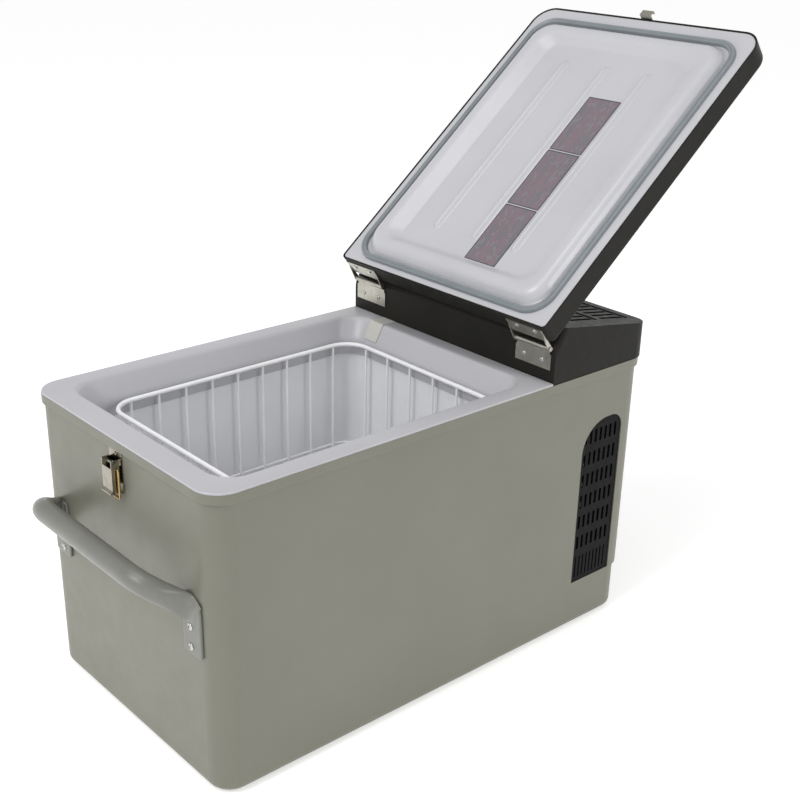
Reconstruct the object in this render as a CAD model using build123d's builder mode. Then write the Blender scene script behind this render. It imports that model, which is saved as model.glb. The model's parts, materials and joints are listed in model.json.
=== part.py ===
"""Portable compressor cooler fridge: steel cabinet, moulded lid, basket and cooling unit.

Frame: +X runs along the length towards the machine compartment, the latch is on the
-X end, +Z is up. The origin is the middle of the footprint, at the soles of the feet.
The lid is drawn standing open, which is the rest pose. All sizes are in millimetres.
"""
from build123d import *
from math import cos, radians, sin, tan
import os

os.makedirs("parts", exist_ok=True)

# ---- driving dimensions -------------------------------------------------------------
BODY_L = 640.0          # cabinet length
BODY_W = 357.0          # cabinet width
CORNER_R = 28.0         # vertical corner radius
FOOT_H = 2.5            # feet below the cabinet floor
SHEET = 1.0             # steel sheet of the cabinet
RIM_Z = 360.0           # top face of the white rim
HOOD_X = 150.0          # front face of the hood, where the cold box ends
CLEAR = 0.3             # gap between neighbouring moulded faces
JOGGLE_Z = 67.0         # height where the rear end steps in
JOGGLE = 5.0            # depth of that step

# collar band and rim frame
COLLAR = 3.2            # how far the collar stands out
COLLAR_H = 11.5
RIM_T = 2.5             # flange thickness
MOUTH_X = (-292.0, 130.0)    # mouth of the funnel at the rim
MOUTH_Y = 157.0
THROAT_X = (-270.0, 115.0)   # throat at the foot of the funnel
THROAT_Y = 146.0
THROAT_Z = 332.0
SKIRT_Z = 314.0
WALL = 2.2              # moulded wall
TANK_Z = 40.0           # inner floor of the tank

# machine compartment
BULKHEAD_X = 149.3
VENT_X = (216.0, 287.0)
VENT_Z = (67.0, 290.0)
HOOD_FRONT_H = 41.5     # vertical part of the hood's front wall
PEAK = (163.5, 425.5)   # x, z of the hood's ridge
HOOD_SLOPE = 9.3        # degrees down towards the rear
HOOD_WALL = 2.5

# lid, in its own plane: u from the hinge axis towards the latch, n from outside to inside
HINGE_X = 146.5
HINGE_Z = 402.0
LID_OPEN = 140.5        # degrees from closed
LID_U = (3.4, 470.3)
LID_Y = 182.0
LID_N = (8.0, 36.0)     # outer face, flange face
GASKET_H = 5.7
PIN_R = 1.5
RUN = 0.05              # running clearance on pins
HINGE_Y = (119.0, 175.0)

# latch
LATCH_PIVOT = (-327.6, 334.0)
BAIL_PIVOT = (-326.4, 328.0)
BAIL_REACH = 33.0
WIRE = 1.3

X0 = -BODY_L / 2
X1 = BODY_L / 2
HALF_W = BODY_W / 2
HINGE_ANGLE = radians(180.0 - LID_OPEN)
LID = Plane(
    origin=(HINGE_X, 0, HINGE_Z),
    x_dir=(cos(HINGE_ANGLE), 0, sin(HINGE_ANGLE)),
    z_dir=(-sin(HINGE_ANGLE), 0, cos(HINGE_ANGLE)),
)
LID_SIDE = Plane(origin=LID.origin, x_dir=LID.x_dir, z_dir=(0, -1, 0))


def rounded(x0, x1, half_y, radius):
    """A rounded rectangle from x0 to x1, symmetrical about y = 0, in the current sketch."""
    with Locations(((x0 + x1) / 2, 0)):
        RectangleRounded(x1 - x0, 2 * half_y, radius)


def finish(part, name):
    """Label a finished piece and write it."""
    part.label = name
    export_step(part, f"parts/{name}.step")


# ---- cabinet ------------------------------------------------------------------------
COLLAR_LAP = 9.0        # how far the wrap reaches up behind the collar
CAB_TOP = RIM_Z - RIM_T - COLLAR_H + COLLAR_LAP
EDGE_R = 10.0

with BuildPart() as outer_solid:
    with BuildSketch(Plane.XY.offset(FOOT_H)):
        rounded(X0, X1 - JOGGLE, HALF_W, CORNER_R)
    extrude(amount=JOGGLE_Z - FOOT_H)
    fillet(outer_solid.faces().sort_by(Axis.Z)[0].edges(), EDGE_R)
    with BuildSketch(Plane.XY.offset(JOGGLE_Z)):
        rounded(X0, X1, HALF_W, CORNER_R)
    extrude(amount=CAB_TOP - JOGGLE_Z)

with BuildPart() as inner_solid:
    with BuildSketch(Plane.XY.offset(FOOT_H + SHEET)):
        rounded(X0 + SHEET, X1 - JOGGLE - SHEET, HALF_W - SHEET, CORNER_R - SHEET)
    extrude(amount=JOGGLE_Z - FOOT_H)
    fillet(inner_solid.faces().sort_by(Axis.Z)[0].edges(), EDGE_R - SHEET)
    with BuildSketch(Plane.XY.offset(JOGGLE_Z + SHEET)):
        rounded(X0 + SHEET, X1 - SHEET, HALF_W - SHEET, CORNER_R - SHEET)
    extrude(amount=CAB_TOP - JOGGLE_Z)

PAN_INSET = 11.0
FOOT_SPACING = (560.0, 290.0)
FLOOR_LIP = 22.0
VENT_BIG_R = 43.0
VENT_SMALL_R = 20.0
REAR_HOLE_Y = 109.0
REAR_HOLE_Z = (84.0, 281.0)
CTRL_Y = 85.0
CTRL_Z = (297.0, 343.0)
CTRL_LIP = 9.0
VENT_FLANGE = 6.0

with BuildPart() as outer_cabinet:
    add(outer_solid.part)
    add(inner_solid.part, mode=Mode.SUBTRACT)
    with BuildSketch(Plane.XY):
        rounded(X0 + FLOOR_LIP, X1 - JOGGLE - FLOOR_LIP, HALF_W - FLOOR_LIP, EDGE_R)
    extrude(amount=FOOT_H + 2 * SHEET, mode=Mode.SUBTRACT)
    with BuildSketch(Plane.XZ) as vent_cut:
        with BuildLine():
            Polyline(
                (VENT_X[0], VENT_Z[0]),
                (VENT_X[1], VENT_Z[0]),
                (VENT_X[1], VENT_Z[1]),
                (VENT_X[0], VENT_Z[1]),
                close=True,
            )
        make_face()
        top_corners = vent_cut.vertices().group_by(Axis.Y)[-1].sort_by(Axis.X)
        fillet(top_corners[0], VENT_BIG_R)
        top_corners = vent_cut.vertices().group_by(Axis.Y)[-1].sort_by(Axis.X)
        fillet(top_corners[-1], VENT_SMALL_R)
    extrude(amount=BODY_W, both=True, mode=Mode.SUBTRACT)
    with BuildSketch(Plane.YZ.offset(X1 - 2 * SHEET)):
        with Locations((0, sum(REAR_HOLE_Z) / 2)):
            RectangleRounded(2 * REAR_HOLE_Y, REAR_HOLE_Z[1] - REAR_HOLE_Z[0], 6)
        with Locations((0, sum(CTRL_Z) / 2)):
            Rectangle(2 * (CTRL_Y - CTRL_LIP), CTRL_Z[1] - CTRL_Z[0] - 8)
    extrude(amount=4 * SHEET, mode=Mode.SUBTRACT)
    # the folded edge beside each vent
    flange_z = VENT_Z[1] - VENT_SMALL_R - VENT_Z[0]
    for side in (-1, 1):
        with Locations((VENT_X[1] + SHEET / 2, side * (HALF_W - VENT_FLANGE / 2),
                        VENT_Z[0] + flange_z / 2)):
            Box(SHEET, VENT_FLANGE, flange_z)
finish(outer_cabinet.part, "outer_cabinet")

with BuildPart() as base_pan:
    with BuildSketch(Plane.XY.offset(FOOT_H + SHEET)):
        rounded(X0 + PAN_INSET, X1 - JOGGLE - PAN_INSET, HALF_W - PAN_INSET, CORNER_R - PAN_INSET)
    extrude(amount=1.2)
    with GridLocations(*FOOT_SPACING, 2, 2):
        Hole(2.1)
finish(base_pan.part, "base_pan")

FOOT_R = 11.0
with BuildPart() as feet:
    with BuildSketch(Plane.XY):
        with GridLocations(*FOOT_SPACING, 2, 2):
            Circle(FOOT_R)
    extrude(amount=FOOT_H + SHEET)
    fillet(feet.faces().group_by(Axis.Z)[0].edges(), 0.8)
    with BuildSketch(Plane.XY.offset(FOOT_H + SHEET)):
        with GridLocations(*FOOT_SPACING, 2, 2):
            Circle(2.0)
    extrude(amount=3.0)
    with BuildSketch(Plane.XY.offset(FOOT_H + SHEET + 1.3)):
        with GridLocations(*FOOT_SPACING, 2, 2):
            Circle(3.6)
    extrude(amount=1.7)
finish(feet.part, "feet")

COLLAR_Z = RIM_Z - RIM_T - COLLAR_H
with BuildPart() as collar_band:
    with BuildSketch(Plane.XY.offset(COLLAR_Z)):
        rounded(X0 - COLLAR, X1 + COLLAR, HALF_W + COLLAR, CORNER_R + COLLAR)
        with BuildSketch(mode=Mode.SUBTRACT):
            rounded(X0, X1, HALF_W, CORNER_R)
    extrude(amount=COLLAR_H)
    outer_edges = collar_band.faces().sort_by(Axis.Z)[0].outer_wire().edges()
    fillet(outer_edges, 1.6)
finish(collar_band.part, "collar_band")

# ---- rim frame and tank -------------------------------------------------------------
RIM_EDGE = COLLAR - 0.5
STRIP_T = 1.2           # harness cover: thickness, and where it crosses the rim
STRIP_Y = (99.0, 123.0)
with BuildPart() as rim_frame:
    with BuildSketch(Plane.XY.offset(RIM_Z - RIM_T)):
        rounded(X0 - RIM_EDGE, X1, HALF_W + RIM_EDGE, CORNER_R + RIM_EDGE)
    extrude(amount=RIM_T)
    rim_top_edges = rim_frame.faces().sort_by(Axis.Z)[-1].edges()
    fillet(rim_top_edges, 1.2)
    with BuildSketch(Plane.XY.offset(RIM_Z - RIM_T)):
        rounded(MOUTH_X[0] - WALL, MOUTH_X[1] + WALL, MOUTH_Y + WALL, 34)
    with BuildSketch(Plane.XY.offset(THROAT_Z)):
        rounded(THROAT_X[0] - WALL, THROAT_X[1] + WALL, THROAT_Y + WALL, 28)
    loft()
    with BuildSketch(Plane.XY.offset(SKIRT_Z)):
        rounded(THROAT_X[0] - WALL, THROAT_X[1] + WALL, THROAT_Y + WALL, 28)
    extrude(amount=THROAT_Z - SKIRT_Z)
    with BuildSketch(Plane.XY.offset(RIM_Z)):
        rounded(MOUTH_X[0], MOUTH_X[1], MOUTH_Y, 32)
    with BuildSketch(Plane.XY.offset(THROAT_Z)):
        rounded(THROAT_X[0], THROAT_X[1], THROAT_Y, 26)
    loft(mode=Mode.SUBTRACT)
    with BuildSketch(Plane.XY.offset(SKIRT_Z)):
        rounded(THROAT_X[0], THROAT_X[1], THROAT_Y, 26)
    extrude(amount=THROAT_Z - SKIRT_Z, mode=Mode.SUBTRACT)
    with BuildSketch(Plane.XY.offset(RIM_Z - 2 * RIM_T)):
        with Locations((X1, 0)):
            Rectangle(2 * (X1 - HOOD_X + CLEAR), 2 * BODY_W)
    extrude(amount=3 * RIM_T, mode=Mode.SUBTRACT)
    # the shallow pocket that the harness cover lies in
    with BuildSketch(Plane.XY.offset(RIM_Z - STRIP_T - 0.05)):
        with Locations(((MOUTH_X[1] + HOOD_X) / 2 - 1, sum(STRIP_Y) / 2)):
            Rectangle(HOOD_X - MOUTH_X[1] + 2, STRIP_Y[1] - STRIP_Y[0] + 0.2)
    extrude(amount=2 * STRIP_T, mode=Mode.SUBTRACT)
finish(rim_frame.part, "rim_frame")

slope_run = (MOUTH_X[1] - THROAT_X[1]) / (RIM_Z - THROAT_Z)
strip_end_z = 338.0
strip_end_x = MOUTH_X[1] - slope_run * (RIM_Z - strip_end_z)
strip_top = RIM_Z + 0.05
with BuildPart() as harness_cover:
    with BuildSketch(Plane.XZ.offset(-STRIP_Y[0])):
        with BuildLine():
            Polyline(
                (HOOD_X - 0.5, RIM_Z - STRIP_T),
                (HOOD_X - 0.5, strip_top),
                (MOUTH_X[1] - 0.9, strip_top),
                (strip_end_x - STRIP_T - 0.2, strip_end_z),
                (strip_end_x - 0.1, strip_end_z),
                (MOUTH_X[1] - 0.1 - slope_run * STRIP_T, RIM_Z - STRIP_T),
                close=True,
            )
        make_face()
    extrude(amount=-(STRIP_Y[1] - STRIP_Y[0]))
finish(harness_cover.part, "harness_cover")

TANK_GAP = 0.4
TANK_T = 1.2
TANK_TOP = 330.0
TANK_X = (THROAT_X[0] - WALL - TANK_GAP, THROAT_X[1] + WALL + TANK_GAP)
TANK_Y = THROAT_Y + WALL + TANK_GAP
TANK_R = 28.5
TANK_FLOOR_R = 13.0
with BuildPart() as tank_space:
    with BuildSketch(Plane.XY.offset(TANK_Z)):
        rounded(TANK_X[0], TANK_X[1], TANK_Y, TANK_R)
    extrude(amount=RIM_Z - TANK_Z)
    fillet(tank_space.faces().sort_by(Axis.Z)[0].edges(), TANK_FLOOR_R)

with BuildPart() as inner_liner:
    with BuildSketch(Plane.XY.offset(TANK_Z - TANK_T)):
        rounded(TANK_X[0] - TANK_T, TANK_X[1] + TANK_T, TANK_Y + TANK_T, TANK_R + TANK_T)
    extrude(amount=TANK_TOP - TANK_Z + TANK_T)
    fillet(inner_liner.faces().sort_by(Axis.Z)[0].edges(), TANK_FLOOR_R + TANK_T)
    add(tank_space.part, mode=Mode.SUBTRACT)
finish(inner_liner.part, "inner_liner")

FOAM_TOP = 356.0
COIL_R = 4.0
COIL_LOOPS = 6
COIL_Z = 90.0
COIL_PITCH = 38.0
coil_out = TANK_T + COIL_R + 0.6
with BuildPart() as evaporator_coil:
    for loop in range(COIL_LOOPS):
        with BuildSketch(Plane.XY.offset(COIL_Z + loop * COIL_PITCH - COIL_R)):
            rounded(TANK_X[0] - coil_out - COIL_R, TANK_X[1] + coil_out + COIL_R,
                    TANK_Y + coil_out + COIL_R, TANK_R + coil_out + COIL_R)
            with BuildSketch(mode=Mode.SUBTRACT):
                rounded(TANK_X[0] - coil_out + COIL_R, TANK_X[1] + coil_out - COIL_R,
                        TANK_Y + coil_out - COIL_R, TANK_R + coil_out - COIL_R)
        extrude(amount=2 * COIL_R)
    fillet(evaporator_coil.edges(), 0.9 * COIL_R)
    with BuildSketch(Plane.XY.offset(COIL_Z)):
        with Locations((TANK_X[1] + coil_out, 0)):
            Circle(COIL_R - 0.2)
    extrude(amount=(COIL_LOOPS - 1) * COIL_PITCH)
finish(evaporator_coil.part, "evaporator_coil")

with BuildPart() as insulation_foam:
    with BuildSketch(Plane.XY.offset(FOOT_H + SHEET + 3.3)):
        rounded(X0 + 14, BULKHEAD_X - CLEAR, HALF_W - 14, 20)
    extrude(amount=JOGGLE_Z - FOOT_H)
    with BuildSketch(Plane.XY.offset(JOGGLE_Z)):
        rounded(X0 + SHEET + CLEAR, BULKHEAD_X - CLEAR, HALF_W - SHEET - CLEAR, 26)
    extrude(amount=FOAM_TOP - JOGGLE_Z)
    tank_void = TANK_T + CLEAR
    with BuildSketch(Plane.XY.offset(TANK_Z - tank_void)):
        rounded(TANK_X[0] - tank_void, TANK_X[1] + tank_void, TANK_Y + tank_void, TANK_R)
    extrude(amount=FOAM_TOP, mode=Mode.SUBTRACT)
    coil_void = coil_out + COIL_R + CLEAR
    with BuildSketch(Plane.XY.offset(COIL_Z - 2 * COIL_R)):
        rounded(TANK_X[0] - coil_void, TANK_X[1] + coil_void, TANK_Y + coil_void, TANK_R + coil_void)
    extrude(amount=FOAM_TOP, mode=Mode.SUBTRACT)
    funnel_void = WALL + 2 * CLEAR
    with BuildSketch(Plane.XY.offset(RIM_Z - RIM_T)):
        rounded(MOUTH_X[0] - funnel_void, MOUTH_X[1] + funnel_void, MOUTH_Y + funnel_void, 34.6)
    with BuildSketch(Plane.XY.offset(THROAT_Z)):
        rounded(THROAT_X[0] - funnel_void, THROAT_X[1] + funnel_void, THROAT_Y + funnel_void, 28.6)
    loft(mode=Mode.SUBTRACT)
finish(insulation_foam.part, "insulation_foam")

# ---- hood ---------------------------------------------------------------------------
SLOPE = radians(HOOD_SLOPE)
HOOD_X1 = X1 + COLLAR - 0.7
HOOD_Y = HALF_W + COLLAR - 0.7
HOOD_Z0 = RIM_Z - RIM_T + 0.05
HOOD_FRONT_Z = RIM_Z + HOOD_FRONT_H
hood_rear_z = PEAK[1] - tan(SLOPE) * (HOOD_X1 - PEAK[0])
HOOD_TOP = Plane(
    origin=(PEAK[0], 0, PEAK[1]),
    x_dir=(cos(SLOPE), 0, -sin(SLOPE)),
    z_dir=(sin(SLOPE), 0, cos(SLOPE)),
)
LOUVRE_GROUPS = ((203.0, 247.0), (259.0, 305.0))
LOUVRE_PITCH = 13.0
LOUVRE_COUNT = 24
LOUVRE_W = 6.0
PAN_DEPTH = 1.0


def hood_profile(inset, z0):
    """The hood's side profile, drawn in the current line."""
    Polyline(
        (HOOD_X + inset, z0),
        (HOOD_X + inset, HOOD_FRONT_Z - inset / 4),
        (PEAK[0] + inset / 2, PEAK[1] - inset),
        (HOOD_X1 - inset, hood_rear_z - inset + tan(SLOPE) * inset),
        (HOOD_X1 - inset, z0),
        close=True,
    )


HOOD_CORNER_R = 25.0
HOOD_EDGE_R = 7.0
with BuildPart() as hood_space:
    with BuildSketch(Plane.XZ):
        with BuildLine():
            hood_profile(HOOD_WALL, HOOD_Z0 - 1)
        make_face()
    extrude(amount=HOOD_Y - HOOD_WALL, both=True)
    fillet(hood_space.edges().filter_by(Axis.Z).group_by(Axis.X)[-1], HOOD_CORNER_R - HOOD_WALL)
    fillet(hood_space.faces().sort_by(Axis.Z)[-1].edges().sort_by(Axis.X)[1:], HOOD_EDGE_R - 2)

with BuildPart() as hood:
    with BuildSketch(Plane.XZ):
        with BuildLine():
            hood_profile(0, HOOD_Z0)
        make_face()
    extrude(amount=HOOD_Y, both=True)
    fillet(hood.edges().filter_by(Axis.Z).group_by(Axis.X)[-1], HOOD_CORNER_R)
    fillet(hood.faces().sort_by(Axis.Z)[-1].edges().sort_by(Axis.X)[1:], HOOD_EDGE_R)
    add(hood_space.part, mode=Mode.SUBTRACT)
    for start, end in LOUVRE_GROUPS:
        middle = ((start + end) / 2 - PEAK[0]) / cos(SLOPE)
        with BuildSketch(HOOD_TOP.offset(-PAN_DEPTH)):
            with Locations((middle, 0)):
                RectangleRounded(end - start + 6, LOUVRE_COUNT * LOUVRE_PITCH + 4, 6)
        extrude(amount=PAN_DEPTH + 1, mode=Mode.SUBTRACT)
        with BuildSketch(HOOD_TOP.offset(-2 * HOOD_WALL)):
            with Locations((middle, 0)):
                with GridLocations(1, LOUVRE_PITCH, 1, LOUVRE_COUNT):
                    SlotOverall(end - start - 4, LOUVRE_W)
        extrude(amount=3 * HOOD_WALL, mode=Mode.SUBTRACT)
finish(hood.part, "hood")

# ---- machine compartment ------------------------------------------------------------
BULKHEAD_Z0 = FOOT_H + SHEET + 1.3
with BuildPart() as bulkhead:
    with BuildSketch(Plane.YZ.offset(BULKHEAD_X)):
        with Locations((0, (JOGGLE_Z + COLLAR_Z) / 2)):
            Rectangle(2 * (HALF_W - 2), COLLAR_Z - JOGGLE_Z)
        with Locations((0, (JOGGLE_Z + BULKHEAD_Z0) / 2)):
            Rectangle(2 * (HALF_W - 14), JOGGLE_Z - BULKHEAD_Z0)
    extrude(amount=1.0)
    with Locations((BULKHEAD_X + 6, 0, BULKHEAD_Z0 + 0.5)):
        Box(12, 2 * (HALF_W - 14), 1.0)
finish(bulkhead.part, "bulkhead")

# the slotted plastic grilles behind the side vents
GRILLE_T = 2.0
GRILLE_X = (209.0, VENT_X[1] - 0.4)
GRILLE_Z = (60.0, 296.0)
SLOT_PITCH = 9.0
SLOT_W = 4.2
SLOT_H = 18.5
ROW_PITCH = 29.0
RIB_PITCH = 4.5
with BuildPart() as vent_grilles:
    for side in (-1, 1):
        face_y = side * (HALF_W - SHEET - 0.1)
        grille_plane = Plane(origin=(0, face_y, 0), x_dir=(1, 0, 0), z_dir=(0, -1, 0))
        with BuildSketch(grille_plane) as grille_sketch:
            with Locations(((GRILLE_X[0] + GRILLE_X[1]) / 2, sum(GRILLE_Z) / 2)):
                Rectangle(GRILLE_X[1] - GRILLE_X[0], GRILLE_Z[1] - GRILLE_Z[0])
            with Locations((sum(VENT_X) / 2 - 2, 196)):
                with GridLocations(SLOT_PITCH, ROW_PITCH, 7, 6):
                    SlotOverall(SLOT_H, SLOT_W, rotation=90, mode=Mode.SUBTRACT)
            with Locations((sum(VENT_X) / 2 - 2, 88)):
                with GridLocations(RIB_PITCH * 1.5, 1, 9, 1):
                    Rectangle(RIB_PITCH / 2, 30, mode=Mode.SUBTRACT)
        extrude(amount=side * GRILLE_T)
finish(vent_grilles.part, "vent_grilles")

with BuildPart() as rear_panel:
    with BuildSketch(Plane.YZ.offset(X1 + 0.05)):
        with Locations((0, sum(REAR_HOLE_Z) / 2)):
            RectangleRounded(2 * REAR_HOLE_Y + 12, REAR_HOLE_Z[1] - REAR_HOLE_Z[0] + 12, 5)
        with Locations((0, sum(REAR_HOLE_Z) / 2)):
            with GridLocations(SLOT_PITCH, ROW_PITCH, 23, 6):
                SlotOverall(SLOT_H + 2, SLOT_W + 0.4, rotation=90, mode=Mode.SUBTRACT)
    extrude(amount=1.2)
finish(rear_panel.part, "rear_panel")

COMPRESSOR = (235.0, 112.0)
with BuildPart() as compressor:
    with BuildSketch(Plane.XZ.offset(-COMPRESSOR[1])):
        with BuildLine():
            Polyline((COMPRESSOR[0], 28), (COMPRESSOR[0] + 52, 28), (COMPRESSOR[0] + 56, 60),
                     (COMPRESSOR[0] + 56, 150), (COMPRESSOR[0] + 44, 178), (COMPRESSOR[0], 186), close=True)
        make_face()
    revolve(axis=Axis((COMPRESSOR[0], COMPRESSOR[1], 0), (0, 0, 1)))
    with Locations((COMPRESSOR[0], COMPRESSOR[1], 24)):
        Box(138, 90, 3)
        Cylinder(30, 12)
    with Locations((COMPRESSOR[0], COMPRESSOR[1], 24)):
        with GridLocations(120, 70, 2, 2):
            Cylinder(4.6, 4, mode=Mode.SUBTRACT)
finish(compressor.part, "compressor")

MOUNT_SPOTS = [(COMPRESSOR[0] + dx, COMPRESSOR[1] + dy) for dx in (-60, 60) for dy in (-35, 35)]
FLOOR_TOP = FOOT_H + SHEET + 1.25
with BuildPart() as compressor_grommets:
    with BuildSketch(Plane.XY.offset(FLOOR_TOP)):
        with Locations(*MOUNT_SPOTS):
            Circle(9)
            Circle(2.7, mode=Mode.SUBTRACT)
    extrude(amount=22.4 - FLOOR_TOP)
finish(compressor_grommets.part, "compressor_grommets")

with BuildPart() as compressor_bolts:
    with BuildSketch(Plane.XY.offset(FLOOR_TOP)):
        with Locations(*MOUNT_SPOTS):
            Circle(2.5)
    extrude(amount=26.5 - FLOOR_TOP)
    with BuildSketch(Plane.XY.offset(25.6)):
        with Locations(*MOUNT_SPOTS):
            RegularPolygon(6, 6)
    extrude(amount=4)
finish(compressor_bolts.part, "compressor_bolts")

CONDENSER_Y = (26.0, 50.0)
FIN_PITCH = 5.0
FIN_COUNT = 26
with BuildPart() as condenser:
    for row in range(5):
        with Locations((235, sum(CONDENSER_Y) / 2, 205 + 22 * row)):
            Cylinder(3.5, 146, rotation=(0, 90, 0))
    with Locations((235, sum(CONDENSER_Y) / 2, 249)):
        with GridLocations(FIN_PITCH, 1, FIN_COUNT, 1):
            Box(0.6, CONDENSER_Y[1] - CONDENSER_Y[0], 112)
    for end in (-1, 1):
        with Locations((235 + end * 71, sum(CONDENSER_Y) / 2, 249)):
            Box(1.5, CONDENSER_Y[1] - CONDENSER_Y[0], 116)
finish(condenser.part, "condenser")

FAN = (235.0, 10.0, 245.0)
FAN_R = 54.0
HUB_R = 19.0
with BuildPart() as fan_frame:
    with BuildSketch(Plane.XZ.offset(-FAN[1])):
        with Locations((FAN[0], FAN[2])):
            RectangleRounded(120, 120, 6)
            Circle(FAN_R + 1.5, mode=Mode.SUBTRACT)
            with GridLocations(105, 105, 2, 2):
                Circle(2.2, mode=Mode.SUBTRACT)
    extrude(amount=12, both=True)
    with BuildSketch(Plane.XZ.offset(-FAN[1] - 12)):
        with Locations((FAN[0], FAN[2])):
            Circle(18)
            with PolarLocations(0, 4):
                with Locations((36, 0)):
                    Rectangle(42, 6)
    extrude(amount=3)
    with Locations((FAN[0], FAN[1] + 4, FAN[2])):
        Cylinder(2.5, 16, rotation=(90, 0, 0))
finish(fan_frame.part, "fan_frame")

BLADES = 7
with BuildPart() as fan_rotor:
    with BuildSketch(Plane.XZ.offset(-FAN[1] + 9)):
        with Locations((FAN[0], FAN[2])):
            Circle(HUB_R)
    extrude(amount=-17)
    for blade in range(BLADES):
        angle = blade * 360 / BLADES
        with Locations(Location((FAN[0], FAN[1], FAN[2]), (0, angle, 0))):
            with Locations(Location(((HUB_R + FAN_R) / 2 - 1, 1, 0), (34, 0, 0))):
                Box(FAN_R - HUB_R, 1.6, 24)
    with Locations((FAN[0], FAN[1] + 4, FAN[2])):
        Cylinder(2.5 + RUN, 20, rotation=(90, 0, 0), mode=Mode.SUBTRACT)
finish(fan_rotor.part, "fan_rotor")

DRIER = (172.0, 38.0)
with BuildPart() as filter_drier:
    with BuildSketch(Plane.XZ.offset(-DRIER[1])):
        with BuildLine():
            Polyline((DRIER[0], 60), (DRIER[0] + 4, 60), (DRIER[0] + 10, 70), (DRIER[0] + 10, 130),
                     (DRIER[0] + 4, 140), (DRIER[0], 140), close=True)
        make_face()
    revolve(axis=Axis((DRIER[0], DRIER[1], 0), (0, 0, 1)))
finish(filter_drier.part, "filter_drier")

PIPE_R = 3.0


def pipe(points, name, radius=PIPE_R, bend=9.0):
    """A bent copper pipe along straight runs, and its file."""
    with BuildPart() as run:
        with BuildLine() as route:
            FilletPolyline(*points, radius=bend)
        with BuildSketch(Plane(origin=route.line @ 0, z_dir=route.line % 0)):
            Circle(radius)
        sweep()
    finish(run.part, name)


CONDENSER_MID = sum(CONDENSER_Y) / 2
pipe([(215, 112, 184), (215, 112, 230), (155, 112, 230), (155, 112, 293), (155, CONDENSER_MID, 293),
      (161.5, CONDENSER_MID, 293)], "discharge_pipe", bend=5)
pipe([(DRIER[0], DRIER[1], 141), (DRIER[0], DRIER[1], 172), (155, DRIER[1], 172),
      (155, DRIER[1], 205), (161.5, DRIER[1], 205)], "liquid_pipe", bend=5)
pipe([(150.6, 140, 205), (235, 140, 205), (235, 140, 183)], "suction_pipe")
pipe([(DRIER[0], DRIER[1], 59), (DRIER[0], DRIER[1], 45), (150.6, DRIER[1], 45)],
     "capillary_tube", radius=1.2)
pipe([(284.5, -52, 320), (160, -52, 320), (160, -52, 250), (150.6, -52, 250)],
     "sensor_tube", radius=1.2, bend=5)

MODULE_Y = (-165.0, -75.0)
MODULE_Z = (180.0, 330.0)
with BuildPart() as control_module:
    with Locations((BULKHEAD_X + 16.2, sum(MODULE_Y) / 2, sum(MODULE_Z) / 2)):
        Box(30, MODULE_Y[1] - MODULE_Y[0], MODULE_Z[1] - MODULE_Z[0])
    with Locations((BULKHEAD_X + 36.2, sum(MODULE_Y) / 2, sum(MODULE_Z) / 2)):
        with GridLocations(1, 8, 1, 10):
            Box(10, 2, MODULE_Z[1] - MODULE_Z[0] - 8)
finish(control_module.part, "control_module")

# ---- rear controls ------------------------------------------------------------------
CTRL_MID = sum(CTRL_Z) / 2
CTRL_T = 1.5
CTRL_FACE = X1 + 0.05 + CTRL_T
KNOB_Y = -52.0
LAMP_Y = -22.0
MAINS_Y = 26.0
BATTERY_Y = 60.0
SHAFT_R = 3.0
with BuildPart() as control_plate:
    with BuildSketch(Plane.YZ.offset(X1 + 0.05)):
        with Locations((0, CTRL_MID)):
            RectangleRounded(2 * CTRL_Y, CTRL_Z[1] - CTRL_Z[0], 5)
        with Locations((KNOB_Y, CTRL_MID)):
            Circle(SHAFT_R + 0.6, mode=Mode.SUBTRACT)
        with Locations((LAMP_Y, CTRL_MID - 8), (LAMP_Y, CTRL_MID + 8)):
            Circle(3.6, mode=Mode.SUBTRACT)
        with Locations((0, CTRL_MID)):
            Circle(6.2, mode=Mode.SUBTRACT)
        with Locations((MAINS_Y, CTRL_MID)):
            Rectangle(28.4, 20.4, mode=Mode.SUBTRACT)
        with Locations((BATTERY_Y, CTRL_MID)):
            Rectangle(24.4, 20.4, mode=Mode.SUBTRACT)
    extrude(amount=CTRL_T)
finish(control_plate.part, "control_plate")

with BuildPart() as thermostat_body:
    with Locations((X1 - 17.5, KNOB_Y, CTRL_MID)):
        Box(34, 34, 27)
    with Locations((X1 - 10, KNOB_Y, CTRL_MID)):
        Cylinder(SHAFT_R + RUN, 21, rotation=(0, 90, 0), mode=Mode.SUBTRACT)
finish(thermostat_body.part, "thermostat_body")

KNOB_X = CTRL_FACE + 0.5
with BuildPart() as control_knob:
    with BuildSketch(Plane.YZ.offset(KNOB_X)):
        with Locations((KNOB_Y, CTRL_MID)):
            Circle(14)
    extrude(amount=2.5)
    with BuildSketch(Plane.YZ.offset(KNOB_X + 2.5)):
        with Locations((KNOB_Y, CTRL_MID)):
            Circle(10.5)
            with PolarLocations(10.8, 16):
                Circle(0.9, mode=Mode.SUBTRACT)
    extrude(amount=10.5, taper=3)
    with Locations((KNOB_X + 12.6, KNOB_Y, CTRL_MID + 6)):
        Box(2, 1.4, 6, mode=Mode.SUBTRACT)
    with BuildSketch(Plane.YZ.offset(X1 - 18)):
        with Locations((KNOB_Y, CTRL_MID)):
            Circle(SHAFT_R)
    extrude(amount=KNOB_X - X1 + 18)
finish(control_knob.part, "control_knob")

with BuildPart() as indicator_lamps:
    with BuildSketch(Plane.YZ.offset(X1 - 3)):
        with Locations((LAMP_Y, CTRL_MID - 8), (LAMP_Y, CTRL_MID + 8)):
            Circle(3.5)
    extrude(amount=6.5)
    fillet(indicator_lamps.faces().group_by(Axis.X)[-1].edges(), 1.5)
finish(indicator_lamps.part, "indicator_lamps")

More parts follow.
